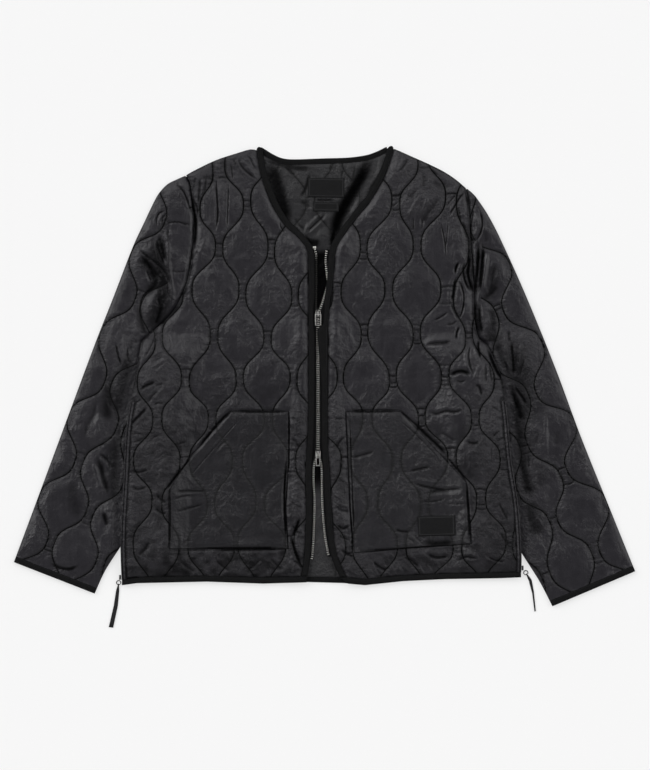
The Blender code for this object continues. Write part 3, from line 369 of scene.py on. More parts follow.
def ripple(u, v, seed):
    """Smooth unevenness from -1 to 1, the same each time, with one bump for each whole step."""
    ui = np.floor(u)
    vi = np.floor(v)
    fu = ease(u - ui)
    fv = ease(v - vi)

    def knot(a, b):
        mixed = np.sin(a * 127.1 + b * 311.7 + seed * 74.7) * SCATTER
        return 2.0 * (mixed - np.floor(mixed)) - 1.0

    near = knot(ui, vi) * (1 - fu) + knot(ui + 1, vi) * fu
    far = knot(ui, vi + 1) * (1 - fu) + knot(ui + 1, vi + 1) * fu
    return near * (1 - fv) + far * fv


def run_along(points):
    """The length run along a row of points, at each of them."""
    return np.concatenate([[0.0], np.cumsum(np.linalg.norm(np.diff(points, axis=0), axis=1))])


def nearest(route, x, y):
    """For each point the distance to a smooth route, signed by its side, and the share along it."""
    keys = np.arange(len(route))
    fine = np.linspace(0.0, len(route) - 1.0, 8 * (len(route) - 1) + 1)
    points = np.stack([follow(list(zip(keys, values)), fine, 0, 1) for values in zip(*route)], axis=-1)
    ahead = np.gradient(points, axis=0)
    ahead /= np.linalg.norm(ahead, axis=1)[:, None]
    dx = x[:, None] - points[None, :, 0]
    dy = y[:, None] - points[None, :, 1]
    closest = np.argmin(dx * dx + dy * dy, axis=1)
    pick = np.arange(len(x))
    dx, dy = dx[pick, closest], dy[pick, closest]
    side = dy * ahead[closest, 0] - dx * ahead[closest, 1]
    past = dx * ahead[closest, 0] + dy * ahead[closest, 1]
    run = run_along(points)
    share = (run[closest] + np.clip(past, -4.0, 4.0)) / run[-1]
    distance = np.where((closest == 0) | (closest == len(points) - 1), np.hypot(dx, dy), np.abs(side))
    return distance * np.where(side < 0, -1.0, 1.0), share


def hand_creases(table, x, y, crisp=False):
    """Creases laid as (half width, depth, darkness, x, y, x, y, ...) in millimetres.

    A valley throws up a low shoulder on both sides and fades out at its ends, and so does its shadow,
    which ends softly where the crease is broad unless it is to be crisp. A depth below nothing is a
    ridge.
    """
    relief = np.zeros(x.shape)
    dark = np.zeros(x.shape)
    for half_width, depth, shade, *spots in table:
        route = points_of(*spots)
        reach = 4.0 * half_width
        xs, ys = zip(*route)
        near = (x > min(xs) - reach) & (x < max(xs) + reach) & (y > min(ys) - reach) & (y < max(ys) + reach)
        if not near.any():
            continue
        distance, share = nearest(route, x[near], y[near])
        taper = ease((share + 0.02) / 0.26) * ease((1.02 - share) / 0.26)
        across = distance / (half_width * (0.45 + 0.55 * taper))
        valley = np.exp(-across * across)
        shoulder = np.exp(-((np.abs(across) - 2.1) / 0.9)**2)
        relief[near] += 0.75 * depth * taper * (0.22 * shoulder - valley)
        fall = 4.0 if crisp or (half_width < 3.6 and depth != 0) else 2.0
        dark[near] = np.maximum(dark[near], shade * taper * np.exp(-np.abs(across / 0.95)**fall))
    return relief, dark


def seam_puckers(distance, along, seed, height, reach):
    """Small gathers that a seam draws up, in some places more than in others, fading away from it."""
    patch = ease((ripple(along / 37.0, 0.5, seed + 5.0) + 0.6) / 1.1)
    wave = ripple((along + 0.5 * distance) / 3.6, 0.5, seed)
    return height * patch * wave * np.exp(-np.abs(distance) / reach) * ease(distance / 1.5)


def seam_shade(distance, along, seed):
    """Darkness in the hollow beside a sewn edge."""
    return (0.6 + 0.4 * ripple(along / 11.0, 0.5, seed)) * (1.0 - ease((distance - 0.4) / 2.8))


def quilt_places(lines, x, y):
    """Where points lie among the quilting lines (whole numbers are the lines) and the lines' spacing."""
    runs = []
    for line in lines:
        keys = np.array([point[1] for point in line], float)
        values = np.array([point[0] for point in line], float)
        index = np.clip(np.searchsorted(keys, y, side='right') - 1, 0, len(keys) - 2)
        t = np.clip((y - keys[index]) / (keys[index + 1] - keys[index]), 0.0, 1.0)
        share = 0.5 - 0.5 * np.cos(math.pi * t)
        share = share + 0.7 * (share * share * (3.0 - 2.0 * share) - share)
        runs.append(values[index] + (values[index + 1] - values[index]) * share)
    runs = [runs[0] - PAIR_SPACING, runs[1] - PAIR_SPACING, *runs, runs[-2] + PAIR_SPACING,
            runs[-1] + PAIR_SPACING]
    place = np.zeros(np.shape(x))
    gap = np.full(np.shape(x), LINE_SPACING)
    for number, (low, high) in enumerate(zip(runs, runs[1:])):
        here = (x >= low) & (x < high)
        place = np.where(here, number + (x - low) / (high - low), place)
        gap = np.where(here, high - low, gap)
    return place, gap


def chance(*numbers):
    """An even share from 0 to 1, always the same for the same numbers."""
    weights = (12.9898, 78.233, 37.719, 4.581)
    return (math.sin(sum(number * weight for number, weight in zip(numbers, weights))) * SCATTER) % 1.0


def quilt_relief(place, gap, y, height, seed):
    """The wadding between two lines, with the small gathers that the stitching draws up beside it."""
    part = place - np.floor(place)
    across = np.abs(2.0 * part - 1.0)
    beside = (0.5 - np.abs(part - 0.5)) * gap
    swell = height * (np.clip(gap, 10.0, 90.0) / 74.0)**0.7 * (1.0 - across**3.6)
    nearest = np.floor(place + 0.5)
    patch = ease((ripple(y / 34.0, nearest + 0.5, seed + 9.0) + 0.5) / 1.2)
    gather = ripple(y / 5.5 + nearest * 3.7, nearest + 0.5, seed) * patch
    return swell + 0.6 * gather * np.exp(-beside / 7.0) * ease(beside / 2.0)


def neck_gathers(lines, place, gap, y, seed):
    """Short creases across the narrow places, bowed away from the middle: their relief and darkness."""
    relief = np.zeros(place.shape)
    dark = np.zeros(place.shape)
    level = y[:, 0]
    for number, (line, after) in enumerate(zip(lines, lines[1:])):
        for before, point, later in zip(line, line[1:], line[2:]):
            if point[0] < max(before[0], later[0]):
                continue
            middle = 0.5 * (point[1] + min(after, key=lambda other: abs(other[1] - point[1]))[1])
            rows = np.nonzero(np.abs(level - middle) < 34.0)[0]
            if len(rows) == 0:
                continue
            band = slice(rows[0], rows[-1] + 1)
            inside = place[band] - 2.0 - number
            within = ease(inside / 0.12) * ease((1.0 - inside) / 0.12)
            bow = (2.0 * inside - 1.0)**2
            count = int(2 + 4 * chance(number, middle, seed))
            for turn in range(count):
                share = (turn + 0.2 + 0.6 * chance(turn, number, middle, seed)) / count
                offset = (2.0 * share - 1.0) * 21.0
                strength = 0.25 + 0.95 * chance(number, turn, middle, seed + 1.0)**1.6
                side = y[band] - middle - offset + offset * 0.16 * bow * np.clip(gap[band] / 20.0, 0.3, 2.0)
                side = side + 1.2 * (chance(turn, middle, seed) - 0.5) * (2.0 * inside - 1.0)
                crease = np.exp(-(side / 1.5)**2) * within
                ridge = np.exp(-((side - np.sign(offset) * 3.4) / 2.0)**2) * within
                relief[band] += strength * (0.55 * ridge - 1.0 * crease)
                # Painted shade in the deeper creases.
                dark[band] = np.maximum(dark[band], ease((strength - 0.35) / 0.7) * crease * 0.9)
    return relief, dark


class Cloth:
    """Collects the surfaces of one sewn piece and makes its mesh."""

    def __init__(self):
        self.points = []
        self.marks = []
        self.faces = []
        self.count = 0

    def grid(self, x, y, z, marks=BARE):
        """Rows of points; marks are three numbers a point that its material reads."""
        points = np.stack(np.broadcast_arrays(x, y, z), axis=-1).astype(float)
        self.points.append(points.reshape(-1, 3))
        self.marks.append(np.stack([np.broadcast_to(mark, points.shape[:2]) for mark in marks],
                                   axis=-1).reshape(-1, 3))
        numbers = self.count + np.arange(points.shape[0] * points.shape[1]).reshape(points.shape[:2])
        self.count += numbers.size
        return numbers

    def cover(self, numbers):
        """Four-sided faces over a grid of points."""
        a, b = numbers[:-1, :-1], numbers[:-1, 1:]
        c, d = numbers[1:, 1:], numbers[1:, :-1]
        self.faces += np.stack([a, b, c, d], axis=-1).reshape(-1, 4).tolist()

    def close(self, first, second):
        """Triangles between two lines of points, joined where they are level along their length."""
        points = np.concatenate(self.points)
        shares = []
        for line in (first, second):
            run = run_along(points[line])
            shares.append(run / max(run[-1], 1e-9))
        i = j = 0
        while i < len(first) - 1 or j < len(second) - 1:
            step = i < len(first) - 1
            if step and j < len(second) - 1:
                step = shares[0][i + 1] <= shares[1][j + 1]
            if step:
                self.faces.append([int(first[i]), int(first[i + 1]), int(second[j])])
                i += 1
            else:
                self.faces.append([int(first[i]), int(second[j + 1]), int(second[j])])
                j += 1

    def make(self, name, finish, weld=False):
        mesh = bpy.data.meshes.new(name)
        points = np.concatenate(self.points) * MM
        mesh.from_pydata(points.tolist(), [], self.faces)
        marks = mesh.attributes.new("quilt", 'FLOAT_VECTOR', 'POINT')
        marks.data.foreach_set("vector", np.concatenate(self.marks).ravel())
        work = bmesh.new()
        work.from_mesh(mesh)
        if weld:
            bmesh.ops.remove_doubles(work, verts=work.verts, dist=1e-6)
        bmesh.ops.recalc_face_normals(work, faces=work.faces)
        work.to_mesh(mesh)
        work.free()
        mesh.polygons.foreach_set("use_smooth", np.ones(len(mesh.polygons), bool))
        mesh.materials.append(finish.material)
        thing = bpy.data.objects.new(name, mesh)
        bpy.context.scene.collection.objects.link(thing)
        return thing


def panel(name, upper, lower, finish, upper_marks=BARE, lower_marks=BARE):
    """A sheet with its upper and lower side, each as (x, y, z) rows with the same number of rows."""
    cloth = Cloth()
    above = cloth.grid(*upper, upper_marks)
    below = cloth.grid(*lower, lower_marks)
    cloth.cover(above)
    cloth.cover(below)
    for column in (0, -1):
        cloth.close(above[:, column], below[:, column])
    for row in (0, -1):
        cloth.close(above[row], below[row])
    return cloth.make(name, finish)


def fitted(thing, node, body="jacket"):
    """Puts a finished piece in its CAD node's place and on its body."""
    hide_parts(node)
    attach(thing, body)


def nylon(name, colour, pale, roughness, groove=1.0, seed=0.0):
    """Thin glossy nylon over wadding: fine weave, vertical sheen, small crinkles, and the stitched lines.

    In a stitched line the cloth is drawn together; shade is painted there, in the hollow beside it and
    wherever the third mark asks: the colour goes to black and the cloth to black metal, giving back no light.
    Beside the zip, along the hem, down the sides and over the shoulders it is crumpled the most.
    """
    finish = Finish(name, colour, roughness, Specular_IOR_Level=0.36)
    spot = finish.place()
    x, y, z = finish.parts(spot)
    place, gap, dark = finish.marks()
    beside = (0.5 - abs(place.part() - 0.5)) * gap
    line = beside.between(0.4, 2.15, 1.0, 0.0)
    # Painted shade in the hollow beside each stitched line.
    hollow = beside.between(1.0, 6.0, 1.0, 0.0)
    stitch = (y / 2.9 + seed).part().between(0.12, 0.2) * beside.bell(0.7)
    crinkle = finish.noise(finish.place((1000.0, 620.0, 1000.0)), 0.075, 4.0, 0.55)
    streak = finish.noise(finish.place((1000.0, 110.0, 1000.0)), 0.21, 3.0, 0.55)
    fine = finish.noise(spot, 0.45, 2.0)
    weave = ((x * 6.6).sine() * 0.5 + (y * 6.6).sine() * 0.5) * 0.5 + 0.5
    gather = finish.noise(finish.join(x * 0.07, y * 0.26, place * 0.7), 1.0, 3.0, 0.6)
    crumple = finish.noise(finish.place((1000.0, 860.0, 1000.0)), 0.19, 4.0, 0.62)
    # Colour paler in random patches and along vertical streaks; the streaks are painted sheen.
    tone_and_painted_sheen = crinkle.between(0.3, 0.7) * 0.35 + streak.between(0.3, 0.7) * 0.2 + crumple * 0.25 + fine * 0.2
    # Painted shade: the stitched lines and the third mark, made black and black metal.
    painted_shade = (line * groove).most(dark)
    cloth = finish.blend(tone_and_painted_sheen, colour, pale)
    cloth = finish.blend(hollow * 0.45, cloth, (0.002, 0.002, 0.0023))
    cloth = finish.blend(painted_shade, cloth, (0.0006, 0.0006, 0.0007))
    cloth = finish.blend(stitch * 0.6 * groove, cloth, (0.008, 0.008, 0.009))
    finish.feed("Base Color", cloth)
    finish.feed("Metallic", (painted_shade * 0.97).most(hollow * 0.3))
    finish.feed("Roughness", roughness + (crinkle - 0.5) * 0.12 + (streak - 0.5) * 0.1 + line * 0.3)
    relief = finish.raised(weave, 0.015, 0.4)
    relief = finish.raised(streak, 0.3, 0.6, relief)
    relief = finish.raised(crinkle, 1.3, 0.7, relief)
    relief = finish.raised(gather * beside.between(2.0, 13.0, 1.0, 0.15), 1.5, 0.8, relief)
    sharp = finish.node('ShaderNodeTexNoise', {"noise_type": 'RIDGED_MULTIFRACTAL'},
                        {"Vector": finish.place((1000.0, 760.0, 1000.0)), "Scale": 0.055, "Detail": 3.0,
                         "Roughness": 0.45, "Lacunarity": 2.1, "Offset": 1.0, "Gain": 2.0})
    patches = finish.noise(spot, 0.016, 2.0).between(0.42, 0.62)
    relief = finish.raised(sharp * patches, 1.3, 0.6, relief)
    busy = abs(x + 9.0).between(32.0, 46.0, 1.0, 0.0) * y.between(-60.0, 10.0, 1.0, 0.0)
    busy = busy.most(y.between(-282.0, -248.0, 1.0, 0.0) * abs(x).between(318.0, 326.0, 1.0, 0.0))
    busy = busy.most(y.between(255.0, 330.0) * 0.8)
    busy = busy.most(abs(x).between(215.0, 262.0) * abs(x).between(322.0, 350.0, 1.0, 0.0)
                     * y.between(70.0, 130.0, 1.0, 0.0))
    relief = finish.raised(crumple * (patches * 0.5 + 0.35 + busy * 1.3), 1.3, 0.9, relief)
    finish.feed("Normal", relief)
    return finish


# The back's quilting lines, which nothing pins down: the same even wave all over.
BACK_LINES = [[(LINE_SPACING * number - 345.0 + (15.0 if (turn + number) % 2 else -15.0), 20.0 + 69.75 * turn)
               for turn in range(-7, 8)] for number in range(17)]
# Creases inside the back's neck, with painted shadows where the fronts' edges shade it: a black band down the
# right and a dark patch on the left.
CREASES_NECK = [
    (12, .6, .9, -90, 367, -73, 313, -58, 252), (5.1, .5, .7, -100, 366, -74, 358, -42, 351, -14, 351),
    (11.2, 1.2, 1, 79, 380, 63, 345, 30, 287, 18, 255, 10, 217), (4.8, .8, 1, 28, 281, 17, 255, 10, 223),
    (3.5, -1.6, 0, 90, 370, 89, 351, 82, 332), (3.8, -1.4, 0, 63, 306, 42, 276),
    (2.4, 1, .95, -17, 300, 18, 300), (3.2, 1.5, .8, -41, 302, -30, 319, -23, 345),
    (2.1, -1.2, 0, 23, 358, 20, 340, 15, 327), (2.1, -1.2, 0, 41, 358, 33, 322),
    (1.9, 1.2, .6, 32, 358, 25, 326), (1.9, 1.2, .6, 49, 358, 46, 338, 39, 321),
    (1.9, 1, .5, 10, 358, 9, 345), (3.2, -2.2, 0, -26, 244, 10, 278), (2.6, -1.8, 0, -33, 250, -2, 281),
    (1.9, 1.4, .8, -30, 247, 4, 279), (7.4, 1.5, .9, -39, 239, -23, 231, -4, 231),
    (2.4, 1, .6, -49, 271, -30, 249), (3.5, 1.2, .6, -38, 300, -30, 292, -22, 289),
    (2.2, 1, .7, -65, 356, -55, 345, -44, 338),
]
# The labels' middles, sizes and tilts.
LABELS = dict(neck=((2.6, 319.4), (58.0, 31.0), -0.8), size=((2.4, 289.0), (41.0, 15.0), -0.8),
              pocket=((179.0, -221.0), (59.0, 32.0), 1.5))


def label_zone(kind, x, y, clear, fade):
    """1 under a label, where the cloth stays flat, and 0 away from it."""
    (middle_x, middle_y), (width, height), _ = LABELS[kind]
    outside = np.maximum(np.abs(x - middle_x) - 0.5 * width, np.abs(y - middle_y) - 0.5 * height)
    return 1.0 - ease((outside - clear) / fade)


def back_columns(low, high, middle_count, side_count):
    """Columns close together in the middle, where the inside shows, and wide apart at the sides."""
    left = low + (-NECK_HALF - low) * np.linspace(0.0, 1.0, side_count)[None, :-1]
    centre = np.linspace(-NECK_HALF, NECK_HALF, middle_count)[None, :] + 0.0 * low
    right = NECK_HALF + (high - NECK_HALF) * np.linspace(0.0, 1.0, side_count)[None, 1:]
    return np.concatenate([left, centre, right], axis=1)


rows = np.concatenate([np.arange(PANEL_BOTTOM_Y - SEWN_IN, -90.0, 3.0), np.arange(-90.0, 90.0, 6.0),
                       np.arange(90.0, BACK_TOP_Y, 2.1), [BACK_TOP_Y, BACK_TOP_Y + 2.6]])[:, None]
low = np.minimum(body_side("left", rows), -NECK_HALF - 1.0)
high = np.maximum(body_side("right", rows), NECK_HALF + 1.0)
spread = ease((rows - 300.0) / (BACK_TOP_Y - 300.0))
thin = ease((BACK_TOP_Y + 2.6 - rows) / 5.0)
sheets = []
for middle_count, side_count in ((113, 24), (60, 44)):
    x = back_columns(low, high, middle_count, side_count)
    y = rows + (straight(BACK_TOP_EDGE, x) - BACK_TOP_Y) * spread
    y = y + hem_wave(x, y)
    sheets.append((x, y, *quilt_places(BACK_LINES, x, y)))

x, y, place, gap = sheets[0]
laid, dark = hand_creases(CREASES_NECK, x, y, True)
relief = quilt_relief(place, gap, y, 1.2, 5.0) + laid
flat = np.maximum(label_zone("neck", x, y, 1.0, 5.0), label_zone("size", x, y, 1.0, 5.0))
inside = ease((y - 215.0) / 15.0) * ease((110.0 - np.abs(x)) / 14.0) * (1.0 - flat)
opening = ease((-95.0 - y) / 12.0) * ease((26.0 - np.abs(x)) / 12.0)
top = BACK_WALL + side_lift(x, y) - 0.6 * inside + inside * relief + 0.3 * opening * relief
upper = (x, y, 1.9 + (top - 1.9) * thin)
# Painted shade on the back's inside, nearly black where it shows between the zip's open ends.
upper_opening_shade = ease((y - 116.0) / 4.0) * ease((226.0 - y) / 14.0) * ease((15.0 - np.abs(x + 4.0)) / 4.0)
lower_opening_shade = ease((-100.0 - y) / 4.0) * ease((y + 178.0) / 34.0) * ease((14.0 - np.abs(x + 10.0)) / 3.0)
plain = (np.abs(x + 8.0) < 26.0) & (y < -92.0)
upper_marks = (np.where(plain, 0.5, place), np.where(plain, PLAIN_GAP, gap),
               np.maximum(dark, 0.96 * np.maximum(upper_opening_shade, lower_opening_shade)))

x, y, place, gap = sheets[1]
beside = (0.5 - np.abs(place - np.floor(place) - 0.5)) * gap
pressed = np.clip(side_of(x, y) / 8.0, 0.0, 1.0)
lower = (x, y, side_lift(x, y) + 1.3 * np.exp(-(beside / 3.2)**2) * pressed + 0.8 * (1.0 - thin))
lining = nylon("lining_nylon", (0.0058, 0.0056, 0.0066), (0.0098, 0.0094, 0.0112), 0.42, 0.55, 2.0)
back = panel("back_panel", upper, lower, lining, upper_marks, (place, gap, 0.0))
fitted(back, "back")


# Fronts
# Two quilted nylon panels with wavy stitching, each sewn to the back at the shoulder and the side. They
# lie on the back panel; the quilting puffs them up and their loose places fall into soft folds.
LINES_LEFT = [
    points_of(-275, -330, -305.5, -249, -275, -180, -305, -117, -273.7, -51, -299, 8, -270, 75, -300, 145,
        -270, 215, -300, 285, -270, 355, -300, 425),
    points_of(-262, -330, -232, -252, -260, -187, -230.3, -116, -260, -50, -228, 15, -260, 82, -226, 150,
        -252, 221, -222, 290, -250, 360, -222, 430),
    points_of(-188, -325, -219, -252, -187, -188, -216, -118, -185.3, -48, -216, 8, -182, 85, -212, 155,
        -174.1, 226, -199, 284, -178, 345, -200, 415),
    points_of(-173, -325, -143.5, -250, -175.4, -187, -147, -116, -174, -52, -141, 11, -171, 82,
        -136.5, 157, -162.7, 222, -129.5, 292, -160, 355, -130, 425),
    points_of(-108, -325, -139, -248, -109, -183, -131.5, -116, -96, -52, -130, 15, -96.5, 81, -126, 147,
        -90.2, 225, -118, 299, -90, 365, -120, 435),
    points_of(-90, -325, -62, -250, -96, -187, -57, -118, -83.5, -50, -54.8, 17, -85.5, 76, -52, 146,
        -80, 216, -55, 287, -76, 360, -50, 430),
    points_of(-22, -325, -49.5, -247, -22, -185, -46.5, -118, -18, -50, -44.2, 10, -15, 85, -42, 146,
        -12, 220, -35, 290, -10, 360, -36, 430),
]
LINES_RIGHT = [
    points_of(0, -325, 34, -256, 5, -190, 27, -116, -8, -50, 20.5, 17, -8, 85, 13.5, 152, -10, 220, 16, 290,
        -10, 360, 20, 430),
    points_of(74, -325, 44, -252, 69, -183, 40.6, -118, 61, -46, 30, 15, 59, 84, 26.4, 152, 57.7, 226,
        30, 300, 58, 370, 30, 440),
    points_of(84, -325, 117, -252, 85, -185, 108.5, -118, 76, -48, 104, 10, 69, 90, 96.5, 157, 67.7, 220,
        107.8, 300, 80, 365, 110, 435),
    points_of(157, -325, 130, -252, 154, -187, 122.5, -115, 150.6, -52, 114.5, 18, 142, 83, 108.7, 155,
        142, 227, 120, 292, 150, 360, 120, 430),
    points_of(170, -325, 205.8, -256, 166, -187, 197, -112, 160.5, -47, 187, 15, 153, 88, 186, 157,
        154.2, 226, 193.5, 306, 165, 370, 195, 440),
    points_of(248, -325, 219.2, -257, 243, -179, 210, -112, 235, -51, 198.5, 20, 225.5, 77, 206, 143,
        231, 222, 211, 296, 236, 366, 210, 436),
    points_of(258, -325, 290, -243, 257, -178, 280.5, -114, 246.5, -50, 271, 10, 236, 90, 262, 160,
        240, 230, 266, 300, 240, 370, 266, 440),
    points_of(322, -325, 300, -250, 318, -180, 296, -115, 318, -50, 284, 15, 308, 85, 284, 155, 308, 225,
        284, 295, 308, 365, 284, 435),
]
CREASES_LEFT = [
    (2.4, 1.6, .9, -52, -276, -42, -281, -33, -292), (4.8, 1.8, .8, -298, -270, -287, -258, -278, -244),
    (2.6, 1.6, .85, -270, -169, -262, -178, -250, -185),
    (2.6, 1.6, .85, -271, -191, -262, -199, -250, -202), (2.2, 1.4, .8, -311, -132, -295, -135, -279, -130),
    (2.2, 1.4, .8, -310, -156, -297, -162, -282, -158), (2.4, 1.5, .8, -231, -276, -218, -289, -204, -297),
    (2.4, 1.5, .8, -175, -273, -164, -286, -148, -295), (2.4, 1.5, .8, -127, -297, -100, -273),
    (2.2, 1.5, .8, -90, -271, -65, -294),
    (3.5, 1.6, 1, -220, 316, -212, 295, -206, 266, -207, 236, -212, 209),
    (1.9, 1.4, .7, -199, 335, -202, 292), (1.6, -1.2, 0, -194, 338, -198, 298),
    (1.9, 1.2, .6, -188, 345, -193, 303), (1.6, 2.2, .9, -170, 337, -173, 324, -171, 276, -175, 246),
    (5.1, -1.5, 0, -164, 332, -166, 252), (1.4, 1.5, .75, -153, 329, -156, 247),
    (1.4, 1.1, .7, -172, 334, -164, 336, -153, 335), (2.9, 1.2, .5, -199, 334, -186, 335, -174, 329),
    (1.6, .9, .5, -188, 322, -174, 330), (1.3, 1.2, .7, -158, 364, -158, 348, -154, 335),
    (1.3, 1, .6, -150, 359, -146, 330), (2.6, -1, 0, -164, 358, -163, 340),
    (1.9, 1.6, .75, -138, 366, -134, 356, -126, 346, -108, 332), (1.6, 1.3, .6, -124, 374, -108, 346),
    (1.9, -1.3, 0, -132, 364, -110, 338), (2.2, 1, .5, -145, 366, -142, 353),
    (1.8, 1.5, .8, -216, 310, -204, 289, -202, 271), (2.9, -.9, 0, -193, 305, -190, 265),
    (4.2, -1.4, 0, -186, 242, -209, 201), (1.4, 1, .6, -202, 222, -214, 199),
    (1.3, 1, .7, -71, 265, -70, 257, -65, 250, -60, 252), (1.6, 1, .5, -206, 338, -210, 316),
    (1.4, -1.1, 0, -217, 191, -222, 178, -225, 159), (2.6, -1.1, 0, -226, 154, -233, 137, -255, 106),
    (1.3, 1.2, .7, -271, 92, -274, 73, -289, 44), (1.6, -1.2, 0, -266, 89, -273, 68, -284, 47),
    (1.8, -1.2, 0, -276, 49, -255, 62), (1.9, -1.4, 0, -278, 30, -250, 47),
    (1.6, -1, 0, -271, 22, -254, 38), (3.5, .8, .25, -279, 39, -258, 52),
    (2.9, 2.2, .9, -294, -6, -288, 1, -268, 10), (1.6, 1, .6, -270, 3, -257, 6),
    (1.6, 1.1, .6, -281, -25, -276, -15, -266, -6), (2.4, -1.2, 0, -254, 2, -274, -23),
    (1.4, 1.2, .85, -274, -28, -266, -25, -255, -26), (1.4, 1.1, .7, -303, -26, -292, -18),
    (1.8, -1.4, 0, -308, -34, -298, -30, -289, -22), (3, 2.4, .92, -314, -63, -289, -38, -282, -28),
    (1.4, 1, .7, -318, -70, -310, -70), (1.3, 1.1, .7, -313, -73, -286, -74),
    (1.3, 1.1, .7, -306, -88, -289, -82), (1.3, .9, .6, -313, -95, -298, -95),
    (1.4, 1.2, .7, -276, -82, -262, -74), (1.4, 1, .6, -268, -113, -254, -103),
    (2.6, -1, 0, -255, -111, -258, -126, -258, -142), (2.9, -.9, 0, -218, -46, -231, -58, -244, -78),
    (1.6, 1.1, .75, -236, -92, -220, -86),
    (3.5, -1.2, 0, -290, 68, -295, 41, -297, 12, -302, -9, -310, -28), (1.3, 1, .6, -273, -47, -265, -49),
    (1.3, .8, .5, -222, -39, -215, -39),
]
CREASES_RIGHT = [
    (2.4, 1.6, .9, 18, -218, 30, -225, 41, -220), (2.4, 1.6, .9, 25, -257, 36, -266, 50, -270),
    (2.6, 1.6, .85, 76, -276, 89, -287, 103, -294), (2.6, 1.6, .85, 124, -270, 140, -279, 153, -292),
    (3.2, 1.8, .9, 161, -265, 178, -273, 201, -271), (2.6, 1.6, .85, 209, -281, 226, -273, 246, -276),
    (2.6, 1.6, .8, 258, -270, 273, -279, 290, -282), (2.1, 1.3, .8, 276, -180, 295, -217),
    (2.1, 1.3, .8, 279, -228, 289, -246, 298, -258), (1.9, 1.5, .7, 116, 346, 124, 350, 134, 366),
    (1.8, -1.1, 0, 118, 351, 129, 367), (1.6, 1.2, .75, 108, 307, 116, 306, 124, 312),
    (1.3, 1, .6, 108, 288, 119, 298), (4.2, 1, .45, 132, 311, 140, 306, 148, 319),
    (4.2, 1, .45, 161, 342, 158, 318), (5.1, 1, .4, 172, 330, 185, 321, 201, 322),
    (5.4, 1.2, .42, 186, 306, 164, 276, 154, 257), (2.4, -1, 0, 150, 305, 132, 270),
    (2.1, -1, 0, 164, 306, 160, 289, 153, 271), (1.6, 1, .6, 142, 273, 142, 250),
    (2.2, 1.1, .6, 156, 271, 156, 252), (1.3, .9, .55, 170, 348, 182, 338),
    (1.3, .9, .55, 175, 353, 190, 343), (1.4, 1.3, .8, 186, 263, 192, 234, 194, 207),
    (1.1, 1, .6, 198, 271, 194, 220), (1.8, 1.8, .85, 199, 273, 214, 300, 222, 310, 228, 314),
    (1.4, 1.2, .65, 194, 289, 212, 311), (1.6, -1.4, 0, 199, 279, 217, 306),
    (1.4, 1.2, .75, 214, 290, 219, 257), (2.6, -1.2, 0, 222, 305, 223, 290),
    (2.9, 1.6, .75, 220, 266, 230, 236), (1.6, -1.1, 0, 228, 290, 229, 271, 226, 252),
    (8.8, -1.4, 0, 210, 258, 212, 228, 210, 201), (2.5, 2.2, 1, 215, 201, 210, 190, 209, 180),
    (1.9, 1.8, .96, 212, 177, 220, 159, 223, 143, 220, 122, 212, 103), (3.1, 2.7, 1, 210, 177, 204, 134),
    (2.5, 2, .96, 224, 202, 222, 185, 226, 166, 236, 150), (2.1, -2.1, 0, 230, 214, 239, 151),
    (1.9, 1.4, .72, 201, 135, 214, 108), (1.6, 1.4, .8, 174, 107, 185, 112, 198, 121),
    (1.7, 1.4, .72, 194, 102, 202, 101, 212, 106), (2.5, 2.1, .96, 210, 76, 212, 89, 217, 98),
    (3.3, 2.5, 1, 229, 223, 231, 201, 229, 182, 234, 162, 241, 145),
    (3.5, 3.1, 1, 258, 68, 276, 25, 298, -1), (3.1, 2.5, 1, 271, 23, 286, 18, 294, 7),
    (2.6, 2, .8, 161, 66, 174, 70, 206, 73), (3.5, 3.1, .96, 199, 17, 207, 23, 217, 26, 226, 24, 233, 17),
    (2.1, 1.3, .6, 210, 12, 217, 9, 226, 12),
    (2.7, 1.8, .75, 164, -39, 180, -42, 194, -38, 209, -39, 225, -33),
    (1.9, .9, .5, 183, -74, 193, -76, 210, -87), (2.9, 1.8, .85, 226, -86, 236, -89, 249, -88),
    (2.5, 2, 1, 246, 79, 246, 62, 250, 44), (1.9, 1.5, .84, 233, 70, 230, 50, 233, 33, 238, 18),
    (2.1, -1.7, 0, 238, 70, 246, 39, 242, 22, 236, 9), (2.5, -1.8, 0, 226, 62, 226, 42, 233, 23),
    (3.5, -2.2, 0, 250, 44, 253, -7), (2.1, 1.4, .6, 257, 38, 258, 6), (1.9, 1.4, .6, 262, 44, 268, 4),
    (2.7, 2, .84, 239, 1, 246, 2, 252, -15), (2.1, -1.4, 0, 273, 36, 270, 15, 265, -1),
    (1.4, 1, .6, 265, -29, 286, -41), (1.4, .8, .5, 274, -44, 284, -54),
    (1.6, 1.1, .7, 268, -81, 274, -73, 282, -68), (1.6, 1.1, .7, 273, -87, 281, -82, 289, -79),
    (3.2, -1.2, 0, 276, 25, 284, -12, 290, -116), (1.3, .9, .5, 266, -94, 267, -118),
    (2.6, -.8, 0, 231, -98, 233, -135), (1.4, 1, .6, 191, 34, 199, 36), (3.1, -1.4, 0, 258, 73, 271, 34),
]
